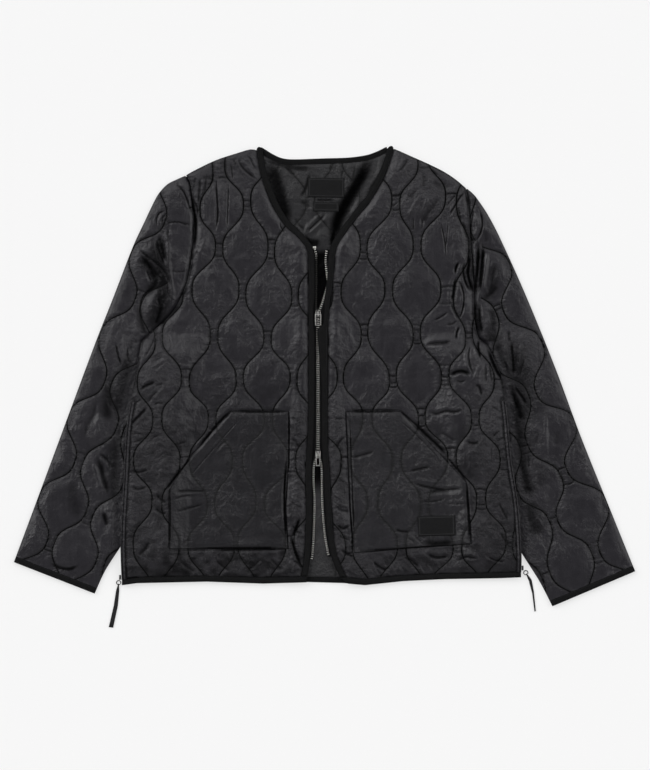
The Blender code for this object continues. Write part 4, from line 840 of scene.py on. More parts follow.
# Painted shadows beside the pockets' edges and the front edge's binding, with a few creases.
SHADOWS_LEFT = [
    (1.6, 1.2, .6, -52, -46, -47, -52, -38, -54), (1.9, 1.4, .75, -54, -81, -46, -87, -39, -100),
    (1.4, -1, 0, -49, -78, -39, -87, -34, -100), (1.3, 1, .5, -55, -119, -47, -114, -39, -118),
    (1.8, 1.3, .7, -46, -135, -39, -142, -33, -153), (1.6, 1.2, .65, -54, -180, -46, -188, -34, -193),
    (1.4, -1.1, 0, -55, -174, -34, -185), (2.1, 1.3, .75, -52, -218, -44, -230, -34, -233),
    (1.6, 1, .75, -153, -37, -54, -37), (1.9, 1.2, .8, -57, -31, -58, -103, -61, -142),
    (3, 1.8, 1, -61, -132, -64, -172, -64, -204, -59, -270), (2.4, 1.4, .95, -191, -260, -52, -258),
    (1.6, .8, .7, -254, -260, -175, -260), (1.4, .8, .8, -248, -148, -248, -270),
    (3, 1.6, .95, -142, -33, -162, -49, -204, -98), (1.8, 1, .8, -198, -92, -250, -159),
    (2.7, 1.4, .95, -225, -126, -255, -166), (3, 2.2, 1, -38, -206, -52, -241),
    (3, 2.4, 1, -54, -233, -49, -255, -36, -289),
]
SHADOWS_RIGHT = [
    (1.6, 1.2, .6, 12, -44, 20, -50, 31, -50), (1.9, 1.4, .75, 33, -78, 25, -86, 17, -100),
    (1.4, -1, 0, 28, -74, 12, -97), (1.3, 1, .5, 14, -121, 23, -116, 34, -121),
    (1.8, 1.3, .7, 18, -138, 26, -148, 34, -153), (1.8, 1.3, .7, 17, -188, 26, -196, 41, -199),
    (1.4, -1.1, 0, 17, -182, 28, -188, 41, -191), (1.9, 1.3, .7, 22, -233, 31, -241, 44, -244),
    (1.6, 1, .8, 31, -37, 127, -36), (1.9, 1.2, .88, 35, -31, 38, -76, 46, -270),
    (1.8, 1.2, .85, 118, -34, 161, -73), (4.2, 2.6, 1, 134, -49, 186, -98, 199, -116),
    (2.1, 1.4, .95, 193, -108, 218, -138, 230, -156), (2.1, 1.3, .9, 226, -145, 234, -257),
    (1.9, 1.2, .9, 41, -265, 121, -255, 238, -250),
]
# Below dim_from a front is painted more and more in half shade.
FRONTS = dict(
    left=dict(lines=LINES_LEFT, creases=CREASES_LEFT, shadows=SHADOWS_LEFT, seed=1.0, dim_from=90.0),
    right=dict(lines=LINES_RIGHT, creases=CREASES_RIGHT, shadows=SHADOWS_RIGHT, seed=2.0, dim_from=30.0))
# Each pocket's low and high side.
POCKET_SIDES = dict(
    left=(points_of(-247.5, -257.5, -246.6, -162, -215.6, -111, -171.6, -63, -149.6, -38),
          points_of(-58.5, -257.5, -62.6, -191, -57.5, -120, -57.6, -38)),
    right=(points_of(47.5, -257.5, 41.4, -191, 37.4, -111, 34.4, -38),
           points_of(233.6, -257.5, 232.5, -230, 226.4, -151, 121.4, -38)))
POCKET_TOP_Y = -38.0


def front_sides(side, y):
    """A front's low and high x, from the body's edge to a little under the front edge's binding."""
    edge = [FRONT_EDGE[side]]
    inner = outline(edge, y) + SIGN[side] * slope_step(edge, y, BINDING_WIDTH + GAP - SEWN_IN)
    return (body_side(side, y), inner) if side == "left" else (inner, body_side(side, y))


def pocket_sides(side, y):
    """The low and high x of a pocket."""
    return [straight(edge, y, 1, 0) for edge in POCKET_SIDES[side]]


def pocket_cover(side, x, y):
    """1 under a pocket and 0 away from it, where the front's wadding is pressed."""
    low, high = pocket_sides(side, y)
    inside = np.minimum(np.minimum(x - low, high - x), np.minimum(y + 258.0, POCKET_TOP_Y - y))
    return np.where((y > -270.0) & (y < -30.0), ease((inside + 8.0) / 12.0), 0.0)


def front_top(side, x, y, folds=True):
    """A front's upper side: its height and the three marks of its cloth."""
    front = FRONTS[side]
    low, high = front_sides(side, y)
    across = np.minimum(x - low, high - x)
    above = y - (HEM_Y + BINDING_WIDTH)
    rim = np.minimum(across, above + 4.0)
    cover = pocket_cover(side, x, y)
    loose = 1.0 - cover
    pressed = 1.0 - 0.45 * cover
    if side == "right":
        pressed = pressed * (1.0 - 0.95 * label_zone("pocket", x, y, 3.0, 14.0))
    place, gap = quilt_places(front["lines"], x, y)
    relief = quilt_relief(place, gap, y, 3.4, front["seed"]) * pressed
    dark = 0.0 * place
    if folds:
        # Creases, gathers, the shadows beside pockets and bindings, and the hollows by the sewn edges carry
        # painted shade.
        gathers, dark = neck_gathers(front["lines"], place, gap, y, front["seed"])
        laid, shade = hand_creases(front["creases"], x, y)
        relief = relief + gathers * (0.3 + 0.7 * loose) + laid * loose
        dark = np.maximum(dark, shade * loose)
        laid, shade = hand_creases(front["shadows"], x, y)
        relief = relief + laid
        dark = np.maximum(dark, shade)
        beside = across - SEWN_IN
        relief = relief + seam_puckers(beside, y, low[0, 0], 1.5, 11.0) * loose
        relief = relief + seam_puckers(above, x, 7.0, 2.6, 15.0)
        dark = np.maximum(dark, seam_shade(np.minimum(beside, above), x + y, 8.0))
        uneven = 0.35 * ripple(x / 17.0, y / 23.0, 3.0) + 0.18 * ripple(x / 8.0, y / 9.0, 4.0)
        relief = relief + uneven * loose
        # Painted half shade, growing towards the bottom and uneven in patches.
        painted_half_shade = 0.27 * ease((front["dim_from"] - y) / 190.0)
        if side == "left":
            painted_half_shade = painted_half_shade + 0.16 * ease((-256.0 - y) / 12.0)
        patchy = 0.95 + 0.8 * ripple(x / 11.0, y / 7.0, 9.0) + 0.3 * ripple(x / 60.0, y / 45.0, 10.0)
        dark = np.maximum(dark, painted_half_shade * np.clip(patchy, 0.0, 2.4))
    wall = 2.1 * (0.75 + 0.25 * ease(rim / 10.0))
    return front_base(x, y) + wall + relief * (0.15 + 0.85 * ease(rim / 16.0)), place, gap, dark


shell = nylon("shell_nylon", (0.0072, 0.0064, 0.0088), (0.0118, 0.0106, 0.0142), 0.38)
for side in SIGN:
    rows = np.append(np.arange(PANEL_BOTTOM_Y - SEWN_IN, 379.4, 1.8), 379.5)[:, None]
    low, high = front_sides(side, rows)
    x, under_x = (low + (high - low) * np.linspace(0.0, 1.0, columns)[None, :] for columns in (184, 24))
    top, *marks = front_top(side, x, rows + 0.0 * x)
    lower = (under_x, rows + hem_wave(under_x, rows), front_base(under_x, rows))
    front = panel("front_panel_" + side, (x, rows + hem_wave(x, rows), top), lower, shell, marks)
    fitted(front, "front_" + side)


# Pockets
# A big patch pocket on each front, its outer top corner cut off on a slant as the opening. The
# quilting is pressed flatter here, and the edges are turned in and stitched down.
POCKET_TILT = points_of(47, -6.5, 110, -1.5, 234, 8)
POCKET_BOTTOM_Y = -257.5
POCKET_LIFT = 0.9
POCKET_WALL = 2.2
# How much painted shade lies over each pocket.
POCKET_PAINTED_SHADE = dict(left=0.15, right=0.04)
# Creases on the pockets, with painted shadows along the mouth and the edges.
CREASES_POCKET_LEFT = [
    (2.7, 1.2, 1, -60, -100, -64, -175, -61, -260), (2.2, 1, 1, -218, -257, -55, -256),
    (1.8, .8, .9, -145, -39, -54, -39), (1.4, .7, .85, -246, -158, -246, -263),
    (2.6, 1.2, 1, -146, -38, -166, -54, -180, -70, -209, -106),
    (2.2, 1.2, 1, -209, -106, -238, -143, -247, -159), (1.1, .5, .5, -130, -47, -154, -71, -225, -153),
    (1.8, 1.2, .8, -244, -166, -180, -165), (1.9, 1.2, .7, -244, -198, -228, -196, -190, -185),
    (1.4, .9, .55, -244, -180, -225, -174, -206, -175), (1.8, -1, 0, -242, -174, -222, -170, -199, -170),
    (2.6, 1, .35, -174, -103, -164, -90, -153, -86), (1.8, 1, .5, -231, -254, -222, -246, -210, -244),
]
CREASES_POCKET_RIGHT = [
    (2.1, 1, .95, 226, -146, 233, -257), (1.8, .8, .95, 34, -39, 126, -38),
    (1.6, .8, .9, 40, -38, 48, -263), (3.5, 2, 1, 124, -39, 166, -78, 204, -119),
    (1.9, .8, .9, 44, -262, 234, -250), (1.1, .5, .5, 114, -47, 153, -82, 190, -121),
    (3.2, -1.2, 0, 134, -57, 185, -105), (2.6, 1.3, .6, 42, -113, 81, -102),
    (2.7, 1.4, .75, 134, -134, 172, -126), (2.6, 1.6, .8, 140, -151, 159, -158, 204, -166),
    (2.4, 1.3, .7, 159, -170, 185, -165, 223, -161), (1.6, .9, .6, 150, -180, 170, -182, 194, -178),
    (1.6, .8, .5, 194, -185, 210, -186, 226, -185), (2.6, -1.2, 0, 143, -145, 162, -150, 185, -152),
    (2.6, -1, 0, 169, -175, 223, -169), (2.7, 1.2, .75, 111, -226, 124, -230, 138, -230),
    (1.4, .9, .5, 127, -234, 151, -254), (1.4, -1, 0, 134, -234, 158, -254),
    (1.4, .9, .5, 140, -234, 162, -254), (5.1, 1.5, .8, 153, -247, 182, -249, 210, -246),
]


def pocket_top(side, x, y):
    """The level of a pocket's upper side, away from its edges and creases."""
    return front_top(side, x, y, False)[0] + POCKET_LIFT + POCKET_WALL


pressed_shell = nylon("pressed_nylon", (0.0056, 0.0051, 0.0068), (0.0096, 0.0087, 0.0117), 0.40, 0.45)
for side, creases in (("left", CREASES_POCKET_LEFT), ("right", CREASES_POCKET_RIGHT)):
    rows = np.array([POCKET_BOTTOM_Y, -256.8, -255.9, *np.arange(-254.5, -41.0, 1.9), -39.8, -38.8,
                     POCKET_TOP_Y])[:, None]
    low, high = pocket_sides(side, rows)
    sheets = []
    for columns in (110, 24):
        share = np.concatenate([[0.0, 0.004, 0.009, 0.015, 0.024], np.linspace(0.034, 0.966, columns),
                                [0.976, 0.985, 0.991, 0.996, 1.0]])
        x = low + (high - low) * share[None, :]
        tilt = 0.0 if side == "left" else straight(POCKET_TILT, x) * (1.0 - ease((rows + 258.0) / 90.0))
        y = rows + tilt + 0.0 * x
        under, place, gap, _ = front_top(side, x, y, False)
        sheets.append((x, y, under + POCKET_LIFT, place, gap))
    x, y, under, place, gap = sheets[0]
    edge = np.minimum(np.minimum(x - low, high - x), np.minimum(rows - POCKET_BOTTOM_Y, POCKET_TOP_Y - rows))
    rim = ease(edge / 8.0)
    laid, dark = hand_creases(creases, x, y)
    soft = 0.4 * ripple(x / 19.0, y / 14.0, 7.0) * rim + laid + seam_puckers(edge, x + y, 12.0, 0.7, 9.0)
    # Painted shade over the whole pocket, dark along its edges.
    dark = np.maximum(np.maximum(dark, POCKET_PAINTED_SHADE[side]), 0.9 * (1.0 - ease(edge / 1.8)))
    upper = (x, y, under + POCKET_WALL * (0.6 + 0.4 * rim) + soft)
    pocket = panel("patch_pocket_" + side, upper, sheets[1][:3], pressed_shell, (place, gap, dark))
    fitted(pocket, "pocket_" + side)
    "front_panel_" + side


# Sleeves
# Each sleeve is one quilted nylon panel sewn into a tube, laid flat with its seam under it. The inner
# part near the armpit lies under the body; the cap is sewn into the armhole.
# Creases on the sleeves; those of no depth are broad strokes of painted shade where the body's edge and the
# folds shade the sleeve.
CREASES_SLEEVE_LEFT = [
    (15.2, 0, .78, -279, 249, -266, 207, -258, 159, -266, 118, -286, 79),
    (9.9, 1.2, .95, -294, 214, -263, 169), (7.7, .9, .95, -258, 145, -263, 119, -274, 95),
    (5.4, .8, .95, -265, 246, -254, 198), (5.1, .5, .8, -295, 134, -294, 108, -284, 81),
    (14.4, 0, .68, -305, 60, -340, -58), (12, 0, .7, -338, 15, -345, -20, -348, -58),
    (15.2, 0, .68, -329, -65, -332, -116, -326, -212), (5.1, 1.5, .85, -364, -110, -356, -130, -345, -174),
    (3.2, 1.2, .75, -361, -103, -332, -132), (2.9, -1.4, 0, -370, -119, -358, -164),
    (4.8, 1.2, .9, -332, -170, -327, -186, -326, -202), (3.5, 1.2, .85, -354, -198, -346, -223),
    (3.2, 1.2, .85, -439, -278, -426, -287, -409, -290, -391, -284),
    (9.6, 0, .3, -404, -145, -401, -180, -391, -212),
    (1.4, 1.3, .85, -255, 260, -244, 264, -231, 264, -220, 261, -212, 262),
    (1.3, 1, .6, -249, 187, -239, 185, -228, 185, -218, 188),
    (2.4, -1.9, 0, -259, 258, -252, 242, -249, 220, -248, 191, -241, 140, -244, 127),
    (3.7, 3.2, 1, -268, 239, -266, 223, -254, 191),
    (2.1, 2.2, .9, -298, 228, -292, 217, -266, 196, -254, 182, -250, 166),
    (8, 2, .85, -287, 204, -276, 186, -270, 170, -279, 154, -290, 143),
    (1.9, 1.2, .85, -286, 190, -276, 167), (1.9, 1.2, .75, -271, 188, -262, 167),
    (1.8, -1.2, 0, -279, 193, -268, 169),
    (1.6, 1.4, .9, -252, 166, -282, 154, -293, 138, -295, 118, -289, 97, -281, 82),
    (6.7, 2, .9, -266, 153, -263, 127, -271, 102), (1.6, 1.2, .8, -262, 156, -260, 140, -254, 129),
    (1.6, 1.3, .8, -269, 254, -268, 270, -263, 279, -252, 284),
    (1.3, 1, .65, -260, 257, -258, 271, -250, 279), (1.4, -1.4, 0, -264, 257, -263, 270, -255, 279),
    (1.8, 1.6, .85, -241, 330, -230, 319, -222, 306, -210, 273),
    (2.1, 1.9, .85, -334, 71, -330, 52, -324, 33), (2.4, -1.7, 0, -321, 87, -318, 33),
    (1.6, 1.4, .75, -314, 66, -314, 47, -308, 34), (2.6, 1, .4, -308, 76, -310, 57),
    (3.5, 1.3, .5, -338, 20, -344, 2, -345, -17, -330, -50, -330, -68),
    (4.2, 1, .35, -366, -22, -369, -42, -378, -60, -385, -82), (4.2, -1, 0, -358, -38, -366, -86),
    (1.6, 1, .6, -311, 30, -307, 14), (3.8, 1.8, .7, -326, -55, -327, -78, -324, -98, -318, -116),
    (1.6, 1.3, .7, -348, -102, -346, -118, -342, -134), (1.9, -1.2, 0, -356, -106, -354, -129),
    (1.4, 1, .5, -330, -34, -321, -31), (1.9, -1, 0, -290, 222, -273, 209),
]
CREASES_SLEEVE_RIGHT = [
    (3.5, 1.4, 1, 251, 234, 253, 207, 246, 145), (7.2, 0, .8, 242, 146, 244, 113, 249, 81),
    (8.8, 0, .62, 271, 201, 270, 169, 260, 137), (15.2, 0, .74, 262, 105, 273, 63, 298, -17),
    (3.5, 1.8, 1, 292, 4, 306, -26, 311, -42), (3.5, 1.4, .95, 300, 7, 319, -20, 324, -33),
    (3.5, 1.6, .8, 276, 71, 279, 50, 292, 15), (12, 0, .96, 289, 17, 311, -36, 318, -65),
    (22.4, 0, .62, 297, 89, 305, 36, 326, -71), (18.4, 0, .78, 298, -10, 308, -65, 318, -154),
    (11.2, .4, .88, 310, -97, 319, -138, 332, -180), (16, 0, .72, 322, -177, 332, -212, 346, -239),
    (12.8, 0, .3, 340, -119, 351, -161), (3.5, 2.4, 1, 245, 238, 246, 212, 242, 164, 243, 138),
    (3.5, 2.2, 1, 241, 142, 240, 114, 244, 84),
    (1.9, 1.6, .9, 234, 295, 237, 279, 234, 255, 236, 236, 247, 223),
    (1.9, -1.8, 0, 241, 281, 244, 265, 242, 249, 237, 239),
    (2.1, 1.6, .9, 247, 286, 252, 266, 250, 249, 242, 233), (4.2, .9, .3, 255, 252, 260, 230),
    (3, -2.2, 0, 261, 217, 250, 150), (4.2, 1.3, .5, 273, 198, 268, 172, 260, 150),
    (5.1, 1.6, .72, 252, 142, 265, 150, 278, 166), (3.5, 1.8, .95, 247, 135, 248, 111, 252, 82),
    (8, 0, .62, 265, 130, 270, 108, 266, 81), (2.9, -1, 0, 260, 121, 262, 102, 260, 87),
    (3.8, 1.6, .72, 274, 94, 269, 70, 271, 49, 279, 31, 292, 14),
    (3.5, 2.2, .95, 298, 79, 302, 34, 302, 12), (3.4, 1.6, .8, 307, 57, 304, 17),
    (3, 1.5, .7, 294, 92, 296, 71), (2.2, -1.9, 0, 286, 76, 291, 54, 294, 25),
    (2.1, 1.3, .6, 282, 66, 286, 44, 292, 22), (2.4, -2, 0, 315, 73, 310, 25),
    (2.2, 1.6, .8, 320, 50, 311, 14), (1.8, 1, .6, 326, 26, 319, 10),
    (5.8, 1.9, .88, 294, -1, 295, -26, 294, -55), (2.9, 1.2, .6, 302, -50, 311, -68),
    (4.5, 1.6, .7, 300, -58, 310, -79, 315, -100, 311, -122), (2.4, -1.4, 0, 354, -38, 354, -92, 358, -114),
    (4.8, 1, .3, 340, -66, 338, -95), (4.8, .9, .25, 372, -68, 370, -95),
    (2.2, 1.3, .7, 326, -105, 327, -132), (1.6, -1, 0, 281, 23, 289, 10), (1.3, .9, .5, 346, 71, 354, 57),
]
CALM_SLEEVE_LEFT = [
    (16.8, -234, 289, -233, 265, -232, 228, -233, 191, -234, 156), (6.4, -263, 231, -258, 201),
]
CALM_SLEEVE_RIGHT = [
    (7.4, 244, 226, 246, 188, 242, 142, 239, 92),
]
SLEEVES = dict(
    left=dict(
        start=(-271.2, 300.0), cuff=(-496.8, -279.2), turn=1, armhole=ARMHOLE["left"],
        side=BODY_SIDE["left"], seed=20.0, creases=CREASES_SLEEVE_LEFT, calm=CALM_SLEEVE_LEFT,
        outer=points_of(31.5, -54, 22, -44.7, 10, -31.4, 2.8, -14.8, 0, 0, -3, 40, -5.6, 80, -5.5, 170,
            -5.8, 250, -3.8, 380, -1.5, 520, 0, 621.6),
        inner=points_of(69, 240, 84, 280, 118, 330, 147, 385, 158, 430, 160, 476, 152, 530, 142, 580,
            139.3, 621.6),
        lines=[
            points_of(-6, -40, 28, 28, -5, 92, 28.5, 161, -4, 227, 31, 302, -4, 368, 33, 439, -1, 505,
                38, 573, 0, 640),
            points_of(71, -40, 38, 28, 71, 98, 40, 160, 80, 226, 42, 298, 75.5, 361, 45, 434, 79, 503,
                49, 569, 84, 640),
            points_of(86, -40, 117, 35, 86, 92, 118, 161, 78, 240, 118, 302, 87, 361, 118, 442, 90.5, 507,
                122.5, 572, 92, 640),
            points_of(160, -40, 128, 30, 160, 98, 128, 164, 158, 240, 131, 306, 163, 365, 130, 440,
                172, 500, 136, 572, 170, 640)]),
    right=dict(
        start=(245.6, 300.0), cuff=(496.8, -293.6), turn=-1, armhole=ARMHOLE["right"],
        side=BODY_SIDE["right"], seed=30.0, creases=CREASES_SLEEVE_RIGHT, calm=CALM_SLEEVE_RIGHT,
        outer=points_of(9.6, -24, 5.3, -16.2, 1.9, -7.8, 0, 0, -5, 26, -8.5, 66, -10.9, 171, -9, 300,
            -4, 410, -1.5, 550, 0, 644.8),
        inner=points_of(81, 245, 98, 290, 124, 335, 150, 390, 163, 440, 164, 490, 157, 545, 148, 600,
            144.4, 644.8),
        lines=[
            points_of(-4, -30, 31, 50, -7, 113, 32, 181, -6, 250, 35, 322, -5, 386, 38, 452, -2, 523,
                40.5, 596, 2, 665),
            points_of(70, -30, 41, 44, 70, 114, 44, 178, 77, 254, 47, 315, 80, 393, 50, 461, 83, 523,
                52.5, 590, 86, 665),
            points_of(86, -30, 117, 46, 84, 108, 116, 186, 86.5, 262, 122, 320, 92, 385, 124, 455, 95, 518,
                127, 595, 98, 665),
            points_of(160, -30, 128, 46, 160, 113, 128, 180, 163, 250, 134, 308, 166, 384, 134, 452,
                168, 522, 141, 600, 172, 665)]))
SLEEVE_TOP = 5.7
SLEEVE_MIDDLE = 0.5 * SLEEVE_TOP
EDGE_STEPS = np.array([0.0, 0.3, 1.1, 2.4, 4.2, 6.6])


def sleeve_frame(sleeve):
    """The sleeve's start, its direction along and the direction across it, from its outer edge in."""
    start = np.array(sleeve["start"])
    along = np.array(sleeve["cuff"]) - start
    along /= np.linalg.norm(along)
    return start, along, np.array([-along[1], along[0]]) * sleeve["turn"]


def on_table(sleeve, across, along):
    """A sleeve's own (across, along) places as x and y on the table."""
    start, down, out = sleeve_frame(sleeve)
    return start[0] + out[0] * across + down[0] * along, start[1] + out[1] * across + down[1] * along


def calm_share(table, x, y):
    """1 where the quilting is pulled flat or hidden in a fold, 0 elsewhere."""
    calm = np.zeros(x.shape)
    for half_width, *spots in table:
        distance, _ = nearest(points_of(*spots), x.ravel(), y.ravel())
        calm = np.maximum(calm, ease(1.5 - np.abs(distance.reshape(x.shape)) / half_width))
    return calm


for sleeve in SLEEVES.values():
    start, down, out = sleeve_frame(sleeve)
    levels = [y for _, y in sleeve["armhole"]]
    levels = sorted(levels + [0.5 * (low + high) for low, high in zip(levels, levels[1:])], reverse=True)
    offsets = [np.array([float(follow(sleeve["armhole"], y)), y]) - start for y in levels]
    sleeve["seam"] = [(offset @ out, offset @ down) for offset in offsets]
    sleeve["armpit"] = sleeve["seam"][-1][1]
    sleeve["length"] = sleeve["outer"][-1][1]


def sleeve_sides(sleeve, along):
    """Outer fold and inner fold; before the armpit the inner side is the armhole's seam."""
    armpit = sleeve["seam"][-1]
    seam = straight(sleeve["seam"], along, 1, 0)
    fold = follow([armpit, *sleeve["inner"]], along)
    outer = follow(sleeve["outer"], along)
    return outer, np.maximum(np.where(along <= armpit[1], seam, fold) - 0.6, outer + 1.2)


def sleeve_relief(sleeve, across, along, low, high, seed):
    """The sleeve's quilting and folds, pressed flat where the body covers it."""
    rim = across - low
    closed = along > sleeve["armpit"]
    rim = np.where(closed, np.minimum(rim, high - across), rim)
    seam = np.where(closed, 1.0, 0.25 + 0.75 * ease((high - across) / 16.0))
    x, y = on_table(sleeve, across, along)
    edge = follow(sleeve["side"], y)
    inside = np.where(y > 74.0, -30.0, (x - edge) * sleeve["turn"])
    shown = 1.0 - ease((inside + 16.0) / 12.0)
    place, gap = quilt_places(sleeve["lines"], across, along)
    calm = calm_share(sleeve["calm"], x, y)
    gathers, dark = neck_gathers(sleeve["lines"], place, gap, along, seed)
    laid, shade = hand_creases(sleeve["creases"], x, y)
    relief = (quilt_relief(place, gap, along, 3.4, seed) + gathers) * (1.0 - calm) + 2.4 * calm + laid
    dark = np.maximum(dark * (1.0 - calm), shade)
    place = np.where(calm > 0.5, 0.5, place)
    gap = np.where(calm > 0.5, PLAIN_GAP, gap)
    relief = relief + 0.45 * ripple(across / 18.0, along / 26.0, seed + 1.0)
    relief = relief + 0.2 * ripple(across / 8.0, along / 10.0, seed + 2.0)
    cuff = 0.3 + 0.7 * ease((sleeve["length"] - 12.0 - along) / 18.0)
    sewn = np.where(closed, 0.0, seam_shade(high - across, along, seed))
    relief = relief + np.where(closed, 0.0, seam_puckers(high - across, along, seed + 4.0, 1.2, 9.0))
    relief = relief + seam_puckers(sleeve["length"] - 11.0 - along, across, seed + 5.0, 1.6, 12.0)
    # Painted shade in the folds and in the hollow beside the armhole's seam.
    dark = np.maximum(dark, sewn)
    return relief * seam * shown * cuff * (0.4 + 0.6 * ease(rim / 20.0)), place, gap, dark * shown


def tube_columns(low, high, count):
    """Columns across a flat tube, close together where it folds over at both sides."""
    span = high - low
    reach = np.minimum(1.0, span / 26.0)
    near = EDGE_STEPS[None, :] * reach
    inner = near[:, -1:]
    middle = inner + (span - 2.0 * inner) * np.linspace(0.0, 1.0, count)[None, 1:-1]
    return low + np.concatenate([near, middle, span - near[:, ::-1]], axis=1)


def fold_round(x, low, high, along, armpit, reach):
    """0 at a folded side and 1 a little way in, rounded like the side of a flat tube."""
    left = np.clip((x - low) / reach, 0.0, 1.0)
    right = np.where(along <= armpit, 1.0, np.clip((high - x) / reach, 0.0, 1.0))
    side = np.minimum(left, right)
    return np.sqrt(np.clip(1.0 - (1.0 - side)**2, 0.0, 1.0))


def joined(upper, lower):
    """Upper and lower columns as one skin, from the inner fold over the top and back underneath."""
    return np.concatenate([upper[:, ::-1], lower[:, 1:]], axis=1)


for side, sleeve in SLEEVES.items():
    armpit = sleeve["armpit"]
    last = sleeve["length"] - BINDING_WIDTH - GAP + SEWN_IN
    steps = np.concatenate([np.arange(sleeve["outer"][0][1] + 1.0, armpit, 2.0), [armpit],
                            np.arange(armpit + 2.0, last, 2.0), [last]])
    rows = steps[:, None]
    sewn = rows <= armpit
    low, high = sleeve_sides(sleeve, rows)
    cloth = Cloth()

    x, under_x = (tube_columns(low, high, count) for count in (82, 40))
    relief, *upper_marks = sleeve_relief(sleeve, x, rows + 0.0 * x, low, high, sleeve["seed"])
    shoulder = 0.93 + 0.07 * ease(np.minimum(x - low, np.where(sewn, 99.0, high - x)) / 14.0)
    z = (SLEEVE_MIDDLE + (SLEEVE_TOP * shoulder + relief - SLEEVE_MIDDLE)
         * fold_round(x, low, high, rows, armpit, 5.5))
    z = 3.4 + (z - 3.4) * np.where(sewn, ease((high - x) / 5.0), 1.0)
    x = np.where(sewn & (x >= high - 1e-6), high + 1.4, x)
    place, gap = quilt_places(sleeve["lines"], under_x, rows)
    beside = (0.5 - np.abs(place - np.floor(place) - 0.5)) * gap
    round_off = fold_round(under_x, low, high, rows, armpit, 5.5)
    under_z = SLEEVE_MIDDLE * (1.0 - round_off) + 1.1 * np.exp(-(beside / 3.2)**2) * round_off**2
    marks = [joined(*pair) for pair in zip(upper_marks, (place, gap, 0.0 * under_x))]
    outer = cloth.grid(*on_table(sleeve, joined(x, under_x), rows), joined(z, under_z), marks)
    cloth.cover(outer)

    wall = np.minimum(3.2, 0.3 * (high - low))
    low, high = low + wall, np.where(sewn, high, high - wall)
    keep = (steps <= armpit) | (np.arange(len(steps)) % 12 == 0) | (steps == last)
    x = tube_columns(low, high, 10)
    half = 0.25 * fold_round(x, low, high, rows, armpit, 5.5)
    inner = cloth.grid(*on_table(sleeve, joined(x, x)[keep], rows[keep]),
                       joined(SLEEVE_MIDDLE + half, SLEEVE_MIDDLE - half)[keep], (30.0, 30.0, 0.0))
    cloth.cover(inner)
    open_rows = int(np.sum(sewn))
    for column in (0, -1):
        cloth.close(outer[:open_rows, column], inner[:open_rows, column])
    for row in (0, -1):
        cloth.close(outer[row], inner[row])
    fitted(cloth.make("sleeve_tube_" + side, shell, True), "sleeve_" + side)


# Cuffs
# Each sleeve ends in a bound cuff: black twill tape folded over the quilted edge all round and
# stitched through, so it stands a little proud of the sleeve.
CUFF_SHAPE = points_of(0.0, 0.86, 0.8, 0.97, 2.2, 1.0, 5.0, 1.0, 7.6, 1.0, 9.0, 0.97, 9.8, 0.84, 10.0, 0.7)
TAPE_STITCH = 8.2


def bound_tape(name):
    """Black twill tape: fine slanting ribs, a stitched line near its inner edge, and small puckers."""
    finish = Finish(name, (0.0035, 0.0035, 0.004), 0.72, Specular_IOR_Level=0.1)
    across, along, dark = finish.marks()
    rib = (across * 0.9 + along * 0.55).stripes(0.62)
    seam = (across - TAPE_STITCH).bell(0.75)
    stitch = (along / 3.0).part().between(0.16, 0.26) * (across - TAPE_STITCH).bell(0.45)
    uneven = finish.noise(finish.place(), 0.12, 3.0)
    pucker = finish.noise(finish.join(across * 0.08, along * 0.42, 0.0), 1.0, 2.0)
    worn = uneven.between(0.45, 0.75) * 0.5 + rib * 0.25
    cloth = finish.blend(worn, (0.0025, 0.0025, 0.0027), (0.0066, 0.0066, 0.007))
    # Painted shade in the groove of the stitched line.
    cloth = finish.blend(seam * 0.75, cloth, (0.0008, 0.0008, 0.001))
    cloth = finish.blend(stitch * 0.8, cloth, (0.014, 0.014, 0.015))
    finish.feed("Base Color", cloth)
    finish.feed("Roughness", 0.62 + uneven * 0.2 - stitch * 0.15)
    relief = finish.raised(rib, 0.06, 0.8)
    relief = finish.raised(pucker * (1.0 - seam * 0.6), 0.9, 0.7, relief)
    finish.feed("Normal", finish.raised(1.0 - seam + stitch * 0.7, 0.35, 1.0, relief))
    return finish


def tube_skin(cloth, sleeve, rows, low, high, counts, heights):
    """One skin of a flat closed tube, marked with the place across the tape and the run along it."""
    sides = []
    for count, above in zip(counts, (True, False)):
        x = tube_columns(low, high, count)
        round_off = fold_round(x, low, high, rows, -1e6, 4.0)
        sides.append((x, SLEEVE_MIDDLE + (heights(x, above) - SLEEVE_MIDDLE) * round_off))
    x, z = (joined(*pair) for pair in zip(*sides))
    step = np.hypot(np.diff(x, axis=1, prepend=x[:, :1]), np.diff(z, axis=1, prepend=z[:, :1]))
    marks = (rows[-1] - rows + 0.0 * x, np.cumsum(step, axis=1), 0.0)
    numbers = cloth.grid(*on_table(sleeve, x, rows), z, marks)
    cloth.cover(numbers)
    return numbers


tape = bound_tape("binding_tape")
back_from_end, swell = (np.array(values)[:, None] for values in zip(*CUFF_SHAPE))
taper = np.where(swell < 0.8, 0.8, 0.0)
for side, sleeve in SLEEVES.items():
    rows = sleeve["length"] - BINDING_WIDTH + back_from_end
    low, high = sleeve_sides(sleeve, rows)

    def outside(x, above):
        if not above:
            return taper + 0.0 * x
        level = 0.82 + 0.18 * ease(np.minimum(x - low, high - x) / 9.0)
        pucker = 0.35 * ripple(x / 6.5, rows / 30.0, 41.0) + 0.25 * ripple(x / 23.0, rows / 90.0, 42.0)
        return 7.3 * swell * level + pucker * swell

    def lining_level(x, above):
        return (3.1 if above else 2.6) + 0.0 * x

    cloth = Cloth()
    outer = tube_skin(cloth, sleeve, rows, low, high, (90, 24), outside)
    inner = tube_skin(cloth, sleeve, rows, low + 3.2, high - 3.2, (10, 10), lining_level)
    for row in (0, -1):
        cloth.close(outer[row], inner[row])
    fitted(cloth.make("cuff_binding_" + side, tape, True), "binding_cuff_" + side)


